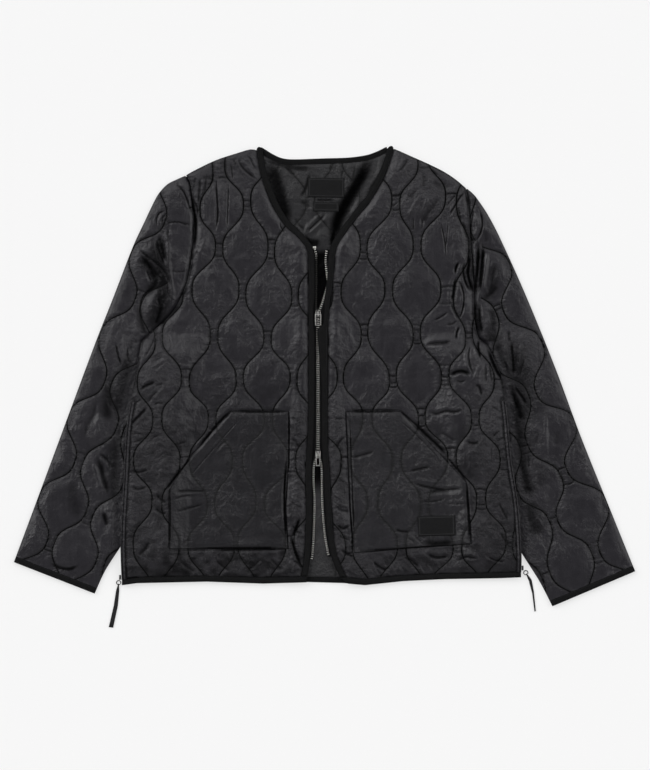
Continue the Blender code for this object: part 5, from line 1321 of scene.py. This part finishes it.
# Edge bindings
# Black twill tape 10 mm wide when folded, sewn over every raw edge: down the neck and the front in one
# length on each side, along the back's neck and along the hem. The side vents are bound in nylon.
BINDING_SHAPE = points_of(0.02, 0.25, 0.0, 0.5, 0.03, 0.76, 0.12, 0.93, 0.3, 1.0, 0.52, 1.0, 0.7, 0.95,
    0.79, 0.86, 0.85, 0.84, 0.9, 0.9, 0.97, 0.8, 1.0, 0.5, 1.0, 0.1, 0.9, 0.0, 0.5, 0.0, 0.1, 0.03)
# How far the right edge bellies out over the chain below the upper slider, and how far both edges
# stand back beside it.
LAP = points_of(-400, 0, 4, 0, 20, 1.2, 44, 3.4, 60, 5.0, 76, 6.6, 88, 7.2, 94, 6.8, 96.5, 4.5, 98, 0,
    103, -2.2, 126, -2.4, 138, 0, 400, 0)
APART = points_of(-400, 0, 86, 0, 96, -1.8, 128, -2.0, 142, 0, 400, 0)
BACK_NECK = points_of(-101, 384.4, -96, 381.5, -83, 373.5, -69, 367.2, -52, 365, 1, 366.6, 39, 367.9,
    68, 372, 84, 377.6, 95, 383, 99, 385)
FRONT_BINDING_WALL = 4.2


def binding(name, node, outer, inner, low, thickness, seed, tip=0.0, finish=tape):
    """A folded tape along a row of outer points and inner points, resting at the low level.

    A tip above nothing rounds its far end over that many millimetres. Nylon has two stitched lines,
    which carry painted shade.
    """
    run = run_along(outer)[:, None]
    part, level = (np.array(values)[None, :] for values in zip(*BINDING_SHAPE))
    soft = 1.0 + 0.07 * ripple(run / 9.0, part * 2.0, seed) + 0.05 * ripple(run / 31.0, part, seed + 1.0)
    soft = np.where(level > 0.6, np.minimum(soft, 1.04), 1.0)
    if tip:
        left = np.clip((run[-1] + 0.2 - run) / tip, 0.0, 1.0)
        part = 0.5 + (part - 0.5) * np.sqrt(1.0 - (1.0 - left)**2)
    part = part + 0.0 * run
    x = outer[:, :1] + (inner[:, :1] - outer[:, :1]) * part
    y = outer[:, 1:] + (inner[:, 1:] - outer[:, 1:]) * part
    z = low[:, None] + thickness * level * soft
    ring = [*range(len(BINDING_SHAPE)), 0]
    marks = ((BINDING_WIDTH * part)[:, ring], (run + 0.0 * part)[:, ring], 0.0)
    if finish is not tape:
        # On nylon the two stitched lines are painted in shade.
        stitched = np.maximum(np.exp(-((part - 0.3) / 0.1)**2), 0.9 * np.exp(-((part - 0.9) / 0.1)**2))
        marks = (0.5, 30.0, (stitched * np.where(level > 0.6, 1.0, 0.0))[:, ring])
    cloth = Cloth()
    numbers = cloth.grid(x[:, ring], y[:, ring], z[:, ring], marks)
    cloth.cover(numbers)
    for row in (0, -1):
        middle = cloth.grid(*[np.array([[np.mean(value[row])]]) for value in (x, y, z)], (5.0, 0.0, 0.0))
        for a, b in zip(numbers[row], numbers[row][1:]):
            cloth.faces.append([int(a), int(b), int(middle[0, 0])])
    fitted(cloth.make(name, finish, True), node)


for side, edge in FRONT_EDGE.items():
    near_top = edge[-1][1] - np.array([6.5, 5.0, 3.6, 2.4, 1.4, 0.6, 0.0])
    y = np.append(np.arange(PANEL_BOTTOM_Y, near_top[0], 2.5), near_top)
    sewn_x = outline([edge], y)
    inner_x = sewn_x + SIGN[side] * slope_step([edge], y, BINDING_WIDTH - GAP)
    x = sewn_x - (straight(LAP, y) if side == "right" else -straight(APART, y))
    outer = np.stack([x, y + hem_wave(x, y)], axis=-1)
    inner = np.stack([inner_x, y + hem_wave(inner_x, y)], axis=-1)
    low = front_base(sewn_x + SIGN[side] * 5.0, y)
    seed = 50.0 if side == "left" else 55.0
    binding("edge_binding_" + side, "binding_edge_" + side, outer, inner, low, FRONT_BINDING_WALL, seed, 6.5)


def hem_binding(side, low_x, high_x, level, thickness, seed, round_end=0.0):
    """The hem's tape between two x places, its low end rounded up by round_end."""
    x = np.append(np.arange(low_x, high_x, 2.5), high_x)
    corner = round_end * (1.0 - ease((x - low_x) / 13.0))
    inner_y = HEM_Y + BINDING_WIDTH
    outer = np.stack([x, HEM_Y + straight(HEM_WAVE, x) + corner], axis=-1)
    inner = np.stack([x, inner_y + hem_wave(x, inner_y)], axis=-1)
    binding("hem_binding_" + side, "binding_hem_" + side, outer, inner, level(x, HEM_Y + 5.0), thickness,
            seed)


left_low = float(follow(BODY_SIDE["left"], HEM_Y)) + 0.4
left_high = float(follow(FRONT_EDGE["left"], HEM_Y)) - 0.4
right_low = float(follow(FRONT_EDGE["right"], HEM_Y + BINDING_WIDTH)) + 0.6
right_high = float(follow(BODY_SIDE["right"], HEM_Y)) - 0.4
hem_binding("left", left_low, left_high, front_base, FRONT_BINDING_WALL, 60.0)
hem_binding("right", right_low, right_high, front_base, FRONT_BINDING_WALL, 65.0, 8.5)
hem_binding("back", left_low, right_high, side_lift, BACK_WALL, 70.0)

x = np.linspace(-101.0, 99.0, 90)
y = follow(BACK_NECK, x, 0, 1)
slope = np.gradient(y, x)
length = np.sqrt(1.0 + slope**2)
inner = np.stack([x + slope / length * 8.8, y - 8.8 / length], axis=-1)
binding("neck_binding_back", "binding_neck_back", np.stack([x, y], axis=-1), inner, 0.0 * x, BACK_WALL, 75.0)

for side, body in BODY_SIDE.items():
    y = np.append(np.arange(PANEL_BOTTOM_Y - SEWN_IN, VENT_TOP_Y - 2.0, 2.5), VENT_TOP_Y - 2.0)
    x = follow(body, y)
    wave = hem_wave(x, y)
    for layer, low, shift, thickness in (("front", front_base(x - SIGN[side] * 4.0, y), 0.0, 3.4),
                                         ("back", side_lift(x, y), 0.4, BACK_WALL)):
        outer = np.stack([x - SIGN[side] * shift, y + wave], axis=-1)
        inner = np.stack([x - SIGN[side] * (VENT_BINDING_WIDTH - shift * 0.75), y + wave], axis=-1)
        binding("vent_binding_%s_%s" % (layer, side), "binding_vent_%s_%s" % (layer, side), outer, inner,
                low, thickness, 80.0, 0.0, shell)


# Main zip
# A two-way metal zip down the front. Two rows of nickel teeth are clamped on the beaded edges of black
# woven tapes, which are sewn under the fronts' bound edges. It is closed between its two sliders.
CHAIN = dict(
    left=points_of(-21.3, -275, -19.7, -268, -17.3, -228, -16.2, -180, -17.8, -148, -17.2, -124,
        -12.9, -110, -11.8, -99, -11.8, -90, -11.8, 100, -11.8, 110, -12.6, 122, -13.6, 132, -13.6, 210,
        -16, 223),
    right=points_of(7.2, -270, 2.1, -244, -1.4, -212, -3.4, -180, -3.8, -148, -4.6, -124, -7.8, -110,
        -8.9, -99, -8.9, -90, -8.9, 100, -8.9, 110, -8.0, 122, -5.0, 130, -2.4, 138, 2.1, 152, 5.4, 168,
        4.3, 180, 2.6, 194, 2.2, 207, 4.3, 221.6))
TOOTH_PITCH = 3.46
ZIP_LEVEL = 6.1
# The tape's places across from the teeth, and its upper and lower side there.
TAPE_ACROSS = np.array([-1.2, -0.2, 0.4, 1.0, 3.0, 6.0, 9.5, 12.2, 12.6])
TAPE_ABOVE = np.array([6.45, 6.75, 6.75, 6.4, 6.35, 6.3, 6.3, 6.3, 6.1])
TAPE_BELOW = np.array([5.75, 5.45, 5.45, 5.8, 5.9, 5.9, 5.9, 5.9, 6.0])


def plated(name, colour, roughness, low_to_high, scratch=0.5, closed_shade=0.0):
    """Nickel-plated zinc: faint brushing, small scratches, dull patches, painted shade in its low places.

    A painted shadow darkens the left row of teeth all over, deep under its binding above the upper
    slider, and painted shade dims the teeth where the chain is closed.
    """
    finish = Finish(name, colour, roughness, Metallic=1.0)
    spot = finish.place()
    brushed = finish.noise(finish.place((9000.0, 400.0, 4000.0)), 1.0, 3.0)
    dull = finish.noise(spot, 0.9, 2.0)
    marks = finish.noise(finish.place((300.0, 2600.0, 900.0)), 1.0, 4.0, 0.7).between(0.52, 0.7)
    shade = brushed * 0.4 + dull.between(0.35, 0.7) * 0.6
    x, y, z = finish.parts(spot)
    metal = finish.blend(shade, tuple(value * 0.45 for value in colour), colour)
    # Painted shade: in low places, as a shadow over the left row under its binding, and on the closed chain.
    hollow = z.between(*low_to_high, 1.0, 0.0)
    under_binding_shadow = y.between(119.0, 126.0) * y.between(203.0, 217.0, 1.0, 0.0) * x.between(-10.6, -9.4, 1.0, 0.0)
    closed_chain_shade = y.between(-104.0, -98.0) * y.between(106.0, 114.0, 1.0, 0.0)
    closed_chain_shade = closed_chain_shade * x.between(-17.0, -15.0) * x.between(-6.0, -4.0, 1.0, 0.0) * closed_shade
    shadow = (hollow * 0.9).most(under_binding_shadow * 0.93).most(closed_chain_shade)
    finish.feed("Base Color", finish.blend(shadow, metal, (0.004, 0.004, 0.0035)))
    finish.feed("Roughness", roughness + dull * 0.18 + marks * 0.12)
    finish.feed("Normal", finish.raised(marks + brushed * 0.5, 0.02 * scratch, 0.8))
    return finish


def woven(name, colour, pale, rib):
    """A plain woven tape with fine ribs."""
    finish = Finish(name, colour, 0.8, Specular_IOR_Level=0.08)
    x, y, z = finish.parts(finish.place())
    ribs = y.stripes(rib)
    threads = x.stripes(rib * 0.8)
    uneven = finish.noise(finish.place(), 0.3, 2.0)
    finish.feed("Base Color", finish.blend(ribs * 0.5 + threads * 0.2 + uneven * 0.4, colour, pale))
    finish.feed("Roughness", 0.72 + uneven * 0.15)
    finish.feed("Normal", finish.raised(ribs * 0.6 + threads * 0.4, 0.07, 0.8))
    return finish


def pick(*things):
    """Leaves edit mode and selects these things alone, the first one active."""
    if bpy.context.object and bpy.context.object.mode == 'EDIT':
        bpy.ops.object.mode_set(mode='OBJECT')
    bpy.ops.object.select_all(action='DESELECT')
    for thing in things:
        thing.select_set(True)
    if things:
        bpy.context.view_layer.objects.active = things[0]


def soften(thing, width, segments):
    """Rounds the active thing's edges."""
    bevel = thing.modifiers.new("soften", 'BEVEL')
    bevel.width = width * MM
    bevel.segments = segments
    bevel.limit_method = 'ANGLE'
    bpy.ops.object.modifier_apply(modifier=bevel.name)


def block(name, middle, half, levels, width=0.0, segments=2):
    """A block round a middle place, between two levels, with its edges rounded over that width."""
    pick()
    low, high = levels
    centre = [value * MM for value in (*middle, 0.5 * (low + high))]
    bpy.ops.mesh.primitive_cube_add(size=1.0, location=centre)
    thing = bpy.context.active_object
    thing.name = name
    thing.scale = [value * MM for value in (2.0 * half[0], 2.0 * half[1], high - low)]
    bpy.ops.object.transform_apply(location=True, rotation=True, scale=True)
    if width:
        soften(thing, width, segments)
    return thing


def edit(thing, keep=None):
    """Goes into edit mode with the points selected that keep allows, or with all of them."""
    pick(thing)
    for part in (*thing.data.polygons, *thing.data.edges, *thing.data.vertices):
        part.select = False
    if keep is not None:
        for vertex in thing.data.vertices:
            vertex.select = keep(vertex.co / MM)
    bpy.ops.object.mode_set(mode='EDIT')
    bpy.ops.mesh.select_mode(type='VERT')
    if keep is None:
        bpy.ops.mesh.select_all(action='SELECT')


def finished(name, things, finish, angle=35.0):
    """Joins pieces into one object of one material: smooth faces with crisp edges, normals outward."""
    pick(*things)
    if len(things) > 1:
        bpy.ops.object.join()
    thing = things[0]
    thing.name = name
    thing.data.name = name
    edit(thing)
    bpy.ops.mesh.normals_make_consistent(inside=False)
    pick(thing)
    thing.data.materials.clear()
    thing.data.materials.append(finish.material)
    bpy.ops.object.shade_smooth_by_angle(angle=math.radians(angle))
    return thing


nickel = plated("nickel_teeth", (0.92, 0.90, 0.85), 0.2, (6.2, 7.15), 0.5, 0.38)
zip_cloth = woven("zip_tape_cloth", (0.002, 0.002, 0.0022), (0.006, 0.006, 0.0065), 0.7)

# One tooth, lying with its head toward +x: a clamp on the tape's edge, a neck and a domed head.
tooth = block("tooth", (0.3, 0.0), (1.6, 0.6), (-1.2, 1.2))
edit(tooth, lambda spot: spot.x > 0)
bpy.ops.transform.resize(value=(1.0, 0.8, 0.78))
edit(tooth)
bpy.ops.mesh.bevel(offset=0.22 * MM, segments=2)
pick()
tooth_points = np.array([vertex.co[:] for vertex in tooth.data.vertices]) / MM
tooth_faces = [list(face.vertices) for face in tooth.data.polygons]
bpy.data.objects.remove(tooth, do_unlink=True)


def row_of_teeth(name, route, level, heading, pitch, size=1.0, start=0.0):
    """Copies of the tooth set along a route of (x, y) points in millimetres, heads to one side."""
    run = run_along(route)
    places = np.arange(start + 0.5 * pitch, run[-1] - 0.4 * pitch, pitch)
    x, y, z = (np.interp(places, run, values)[:, None] for values in (*route.T, level))
    ahead_x, ahead_y = np.gradient(x[:, 0])[:, None], np.gradient(y[:, 0])[:, None]
    span = np.hypot(ahead_x, ahead_y)
    ahead_x, ahead_y = ahead_x / span, ahead_y / span
    out, along, up = tooth_points.T * size
    points = np.stack(np.broadcast_arrays(x + out * (ahead_y * heading) + along * ahead_x,
                                          y + out * (-ahead_x * heading) + along * ahead_y, z + up), axis=-1)
    faces = [[index + number * len(tooth_points) for index in face]
             for number in range(len(places)) for face in tooth_faces]
    mesh = bpy.data.meshes.new(name)
    mesh.from_pydata((points.reshape(-1, 3) * MM).tolist(), [], faces)
    thing = bpy.data.objects.new(name, mesh)
    bpy.context.scene.collection.objects.link(thing)
    return thing


for side, chain in CHAIN.items():
    inward = -SIGN[side]
    y = np.arange(chain[0][1], chain[-1][1], 1.0)
    x = follow(chain, y)
    pieces = [row_of_teeth("teeth", np.stack([x, y], axis=-1), ZIP_LEVEL + 0.0 * y, inward, TOOTH_PITCH, 1.0,
                           0.0 if side == "left" else 0.5 * TOOTH_PITCH)]
    slope = np.gradient(x, y)
    length = np.sqrt(1.0 + slope**2)
    px = x[:, None] - inward * TAPE_ACROSS[None, :] / length[:, None]
    py = y[:, None] + inward * (slope / length)[:, None] * TAPE_ACROSS[None, :]
    upper, lower = ((px, py, level[None, :]) for level in (TAPE_ABOVE, TAPE_BELOW))
    fitted(panel("zip_cloth_" + side, upper, lower, zip_cloth), "zip_tape_" + side)
    if side == "left":
        pieces.append(block("stop", (-16.1, 223.2), (2.5, 2.2), (4.9, 7.4), 0.6))
    fitted(finished("zip_teeth_" + side, pieces, nickel), "zip_chain_" + side)


# Sliders and pulls
# Two cast nickel sliders on the zip, mouth to mouth, each a pair of plates round the teeth with a low
# bridge on top. The upper pull is a rectangular loop, the lower one a small open ring; both swing.
UPPER_SLIDER = (-10.3, 117.0)
LOWER_SLIDER = (-10.3, -106.0)
cast = plated("cast_nickel", (0.64, 0.63, 0.61), 0.2, (8.62, 8.94), 1.0)


def slider(name, node, place, mouth):
    """A slider at its place with its mouth, where the two rows part, up (1) or down (-1)."""
    x, y = place
    pieces = []
    for levels in ((3.6, 4.6), (7.6, 8.6)):
        plate = block("plate", place, (4.8, 6.0), levels)
        edit(plate, lambda spot: (spot.y - y) * mouth < 0)
        bpy.ops.transform.resize(value=(0.78, 1.0, 1.0), center_override=(x * MM, y * MM, 0.0))
        bpy.ops.mesh.select_all(action='SELECT')
        bpy.ops.mesh.bevel(offset=0.34 * MM, segments=3)
        pick()
        pieces.append(plate)
    pieces.append(block("wedge", (x, y + mouth * 4.5), (0.4, 1.2), (4.2, 8.0), 0.2))
    for end in (-1, 1):
        pieces.append(block("leg", (x, y + end * 3.6), (1.0, 0.8), (8.3, 11.2), 0.35))
    pieces.append(block("bridge", place, (0.95, 4.3), (10.45, 11.35), 0.4, 3))
    for edge in (-1, 1):
        pieces.append(block("rib", (x + edge * 3.3, y), (0.5, 4.4), (8.4, 8.95), 0.25))
    fitted(finished(name, pieces, cast), node)


def pull(name, node, body, place, width, length, windows):
    """A flat loop hanging from the bridge; each window cut through it is (far end, near end, width)."""
    x, end = place[0], place[1] + 0.5
    plate = block("plate", (x, end - 0.5 * length), (0.5 * width, 0.5 * length), (8.9, 10.1))
    for low, high, wide in windows:
        cutter = block("cutter", (x, end + 0.5 * (low + high)), (0.5 * wide, 0.5 * (high - low)), (7.0, 12.0))
        cut = plate.modifiers.new("cut", 'BOOLEAN')
        cut.operation = 'DIFFERENCE'
        cut.solver = 'EXACT'
        cut.object = cutter
        pick(plate)
        bpy.ops.object.modifier_apply(modifier=cut.name)
        bpy.data.objects.remove(cutter, do_unlink=True)
    soften(plate, 0.42, 3)
    fitted(finished(name, [plate], cast), node, body)


slider("zip_slider_upper", "slider_upper", UPPER_SLIDER, 1)
slider("zip_slider_lower", "slider_lower", LOWER_SLIDER, -1)
pull("loop_pull_upper", "pull_upper", "upper_pull", UPPER_SLIDER, 9.8, 18.4, [(-17.1, -1.5, 6.8)])
pull("ring_pull_lower", "pull_lower", "lower_pull", LOWER_SLIDER, 7.0, 20.0,
     [(-6.2, -1.0, 2.9), (-18.4, -7.4, 4.4)])


# Side vents
# A short closed zip runs up each side between the bound edges of the front and the back. At its foot
# hang a small slider, a wire ring and a doubled black ribbon to pull it by.
VENTS = dict(
    left=dict(slider=(-327.0, -303.5), ring=(-329.2, -312.2),
              ribbon=[(-331.2, -327.5), (-333.8, -349.0), (-341.6, -383.8)],
              widths=points_of(0.0, 0.22, 0.25, 0.62, 0.6, 0.8, 1.0, 0.9)),
    right=dict(slider=(316.9, -288.5), ring=(322.0, -296.2),
               ribbon=[(329.2, -308.6), (333.6, -328.0), (337.0, -358.0)],
               widths=points_of(0.0, 0.25, 0.2, 0.5, 0.4, 0.62, 0.7, 0.4, 1.0, 0.3)))
RING_RADIUS = 3.4
RIBBON_HALF = 0.25
# Half the ribbon's width and thickness at each point round it.
RIBBON_ROUND = points_of(-1, -1, -0.5, -1, 0, -1, 0.5, -1, 1, -1, 1, 1, 0.5, 1, 0, 1, -0.5, 1, -1, 1, -1, -1)
vent_nickel = plated("vent_nickel", (0.20, 0.20, 0.20), 0.3, (2.6, 5.0))
wire_nickel = plated("wire_nickel", (0.10, 0.10, 0.10), 0.3, (1.4, 2.5))
ribbon_cloth = woven("pull_ribbon", (0.008, 0.008, 0.0085), (0.022, 0.022, 0.023), 0.9)
for side, vent in VENTS.items():
    y = np.arange(PANEL_BOTTOM_Y + 1.0, VENT_TOP_Y - 2.4, 1.0)
    x = follow(BODY_SIDE[side], y) - SIGN[side] * 4.3
    level = BACK_WALL + side_lift(x, y) + 1.45
    route = np.stack([x, y + hem_wave(x, y)], axis=-1)
    pieces = [row_of_teeth("vent_teeth", route - (heading, 0.0), level, heading, 1.9, 0.62, start)
              for heading, start in ((-1.0, 0.0), (1.0, 0.95))]
    fitted(finished("vent_teeth_" + side, pieces, nickel), "vent_zip_" + side)

    x, y = vent["slider"]
    pieces = [block("plate", (x, y - 0.1), (1.6, 3.7), (0.6, 1.5), 0.3),
              block("plate", (x, y - 0.25), (1.5, 3.65), (3.1, 4.0), 0.3),
              block("core", (x, y), (1.0, 2.8), (1.2, 3.4), 0.4),
              block("ridge", (x, y - 0.25), (0.5, 2.65), (3.8, 4.7), 0.35)]
    fitted(finished("vent_slider_%s_cast" % side, pieces, vent_nickel), "vent_slider_" + side)

    x, y = vent["ring"]
    pick()
    bpy.ops.mesh.primitive_torus_add(major_radius=RING_RADIUS * MM, minor_radius=0.8 * MM, major_segments=40,
                                     minor_segments=12, location=(x * MM, y * MM, 1.8 * MM))
    ring = bpy.context.active_object
    bpy.ops.object.transform_apply(location=True, rotation=True, scale=True)
    edit(ring, lambda spot: (spot.y - y) < -2.0)
    bpy.ops.transform.resize(value=(0.86, 1.0, 1.0), center_override=(x * MM, y * MM, 0.0))
    fitted(finished("vent_wire_ring_" + side, [ring], wire_nickel, 60.0), "vent_ring_" + side)

    # The ribbon runs from its end up to the ring, round the ring's wire and back on top of itself.
    route = [Vector((*place, 0.0)) for place in (vent["ring"], *vent["ribbon"])]
    direction = (route[1] - route[0]).normalized()
    route[0] = route[0] + direction * RING_RADIUS
    wide = Vector((direction.y, -direction.x, 0.0)) * 4.0
    fine = [route[0]]
    for a, b in zip(route, route[1:]):
        fine += [a.lerp(b, number / 6.0) for number in range(1, 7)]
    shares = [number / (len(fine) - 1.0) for number in range(len(fine))]
    spread = [wide * float(straight(vent["widths"], share)) for share in shares]
    up = Vector((0.0, 0.0, 1.0))
    path = [(fine[number] + up * RIBBON_HALF, spread[number], up * RIBBON_HALF)
            for number in range(len(fine) - 1, 0, -1)]
    for angle in range(-102, 103, 17):
        spoke = -direction * math.cos(math.radians(angle)) + up * math.sin(math.radians(angle))
        path.append((route[0] + up * 1.8 + spoke * 1.35, 0.2 * wide, -spoke * RIBBON_HALF))
    for number in range(1, len(fine)):
        lift = 0.25 * math.sin(9.0 * shares[number]) * math.sin(math.pi * shares[number])
        path.append((fine[number] + up * (1.25 + lift), spread[number], up * -RIBBON_HALF))
    rings = np.array([[point + across * a + thick * b for a, b in RIBBON_ROUND]
                      for point, across, thick in path])
    cloth = Cloth()
    numbers = cloth.grid(rings[:, :, 0], rings[:, :, 1], rings[:, :, 2])
    cloth.cover(numbers)
    for row in (0, -1):
        cloth.faces.append([int(value) for value in numbers[row][:-1]])
    fitted(cloth.make("pull_ribbon_" + side, ribbon_cloth, True), "vent_ribbon_" + side)


# Labels
# Three black woven damask labels with folded ends, stitched on: two inside the back neck, one on the
# right pocket. They are left bare.
NECK_LABEL_LEVEL = 3.55


def damask(name, half_width, half_height):
    """Black satin weave with a woven border; the marks give the place on the label in millimetres."""
    finish = Finish(name, (0.004, 0.004, 0.0045), 0.6, Specular_IOR_Level=0.15)
    u, v, edge = finish.marks()
    inset = (half_width - abs(u)).least(half_height - abs(v))
    border = (inset - 2.6).bell(0.45)
    sewn = (inset - 1.1).bell(0.35) * ((u + v) / 2.4).part().between(0.2, 0.35)
    threads = v.stripes(0.42)
    warp = u.stripes(0.36)
    uneven = finish.noise(finish.place(), 0.25, 3.0)
    cloth = finish.blend(threads * 0.5 + uneven * 0.5, (0.0012, 0.0012, 0.0014), (0.0038, 0.0038, 0.0044))
    cloth = finish.blend(border * (0.35 + warp * 0.3), cloth, (0.05, 0.05, 0.052))
    cloth = finish.blend(sewn * 0.7, cloth, (0.02, 0.02, 0.021))
    finish.feed("Base Color", cloth)
    finish.feed("Roughness", 0.5 + uneven * 0.2)
    finish.feed("Normal", finish.raised(threads * 0.6 + warp * 0.3 + border * 0.6, 0.06, 0.8))
    return finish


for kind, (middle, (width, height), tilt) in LABELS.items():
    turn = math.radians(tilt)
    u = np.linspace(-0.5, 0.5, 40)[None, :] * width
    v = np.linspace(-0.5, 0.5, 24)[:, None] * height
    x = middle[0] + math.cos(turn) * u - math.sin(turn) * v
    y = middle[1] + math.sin(turn) * u + math.cos(turn) * v
    rest = pocket_top("right", x, y) + 0.8 if kind == "pocket" else NECK_LABEL_LEVEL + 0.0 * x
    inset = np.minimum(0.5 * width - np.abs(u), 0.5 * height - np.abs(v))
    wave = 0.14 * ripple(x / 9.0, y / 7.0, 90.0) * ease(inset / 4.0)
    upper = (x, y, rest + 0.45 + 0.5 * ease(inset / 1.2) + wave)
    marks = (u + 0.0 * v, v + 0.0 * u, 0.0)
    finish = damask(kind + "_damask", 0.5 * width, 0.5 * height)
    made = panel(kind + "_label_cloth", upper, (x, y, rest), finish, marks, marks)
    fitted(made, kind + "_label")


# Cut and sewn
# Each panel was cut flat from quilted nylon before the bindings, cuffs, zip tapes and pull ribbons were
# sewn to it. The fronts lie on the back; a sleeve's cut goes all round. Here the pieces are only looked up.
things = bpy.data.objects
sewn = ("neck_binding_back", "hem_binding_back", "vent_binding_back_left", "vent_binding_back_right")
for side in SIGN:
    sewn = ("edge_binding_", "hem_binding_", "vent_binding_front_", "zip_cloth_", "pull_ribbon_")
    things["front_panel_" + side]
    [things[name + side] for name in sewn]
    things["sleeve_tube_" + side]
    things["cuff_binding_" + side]
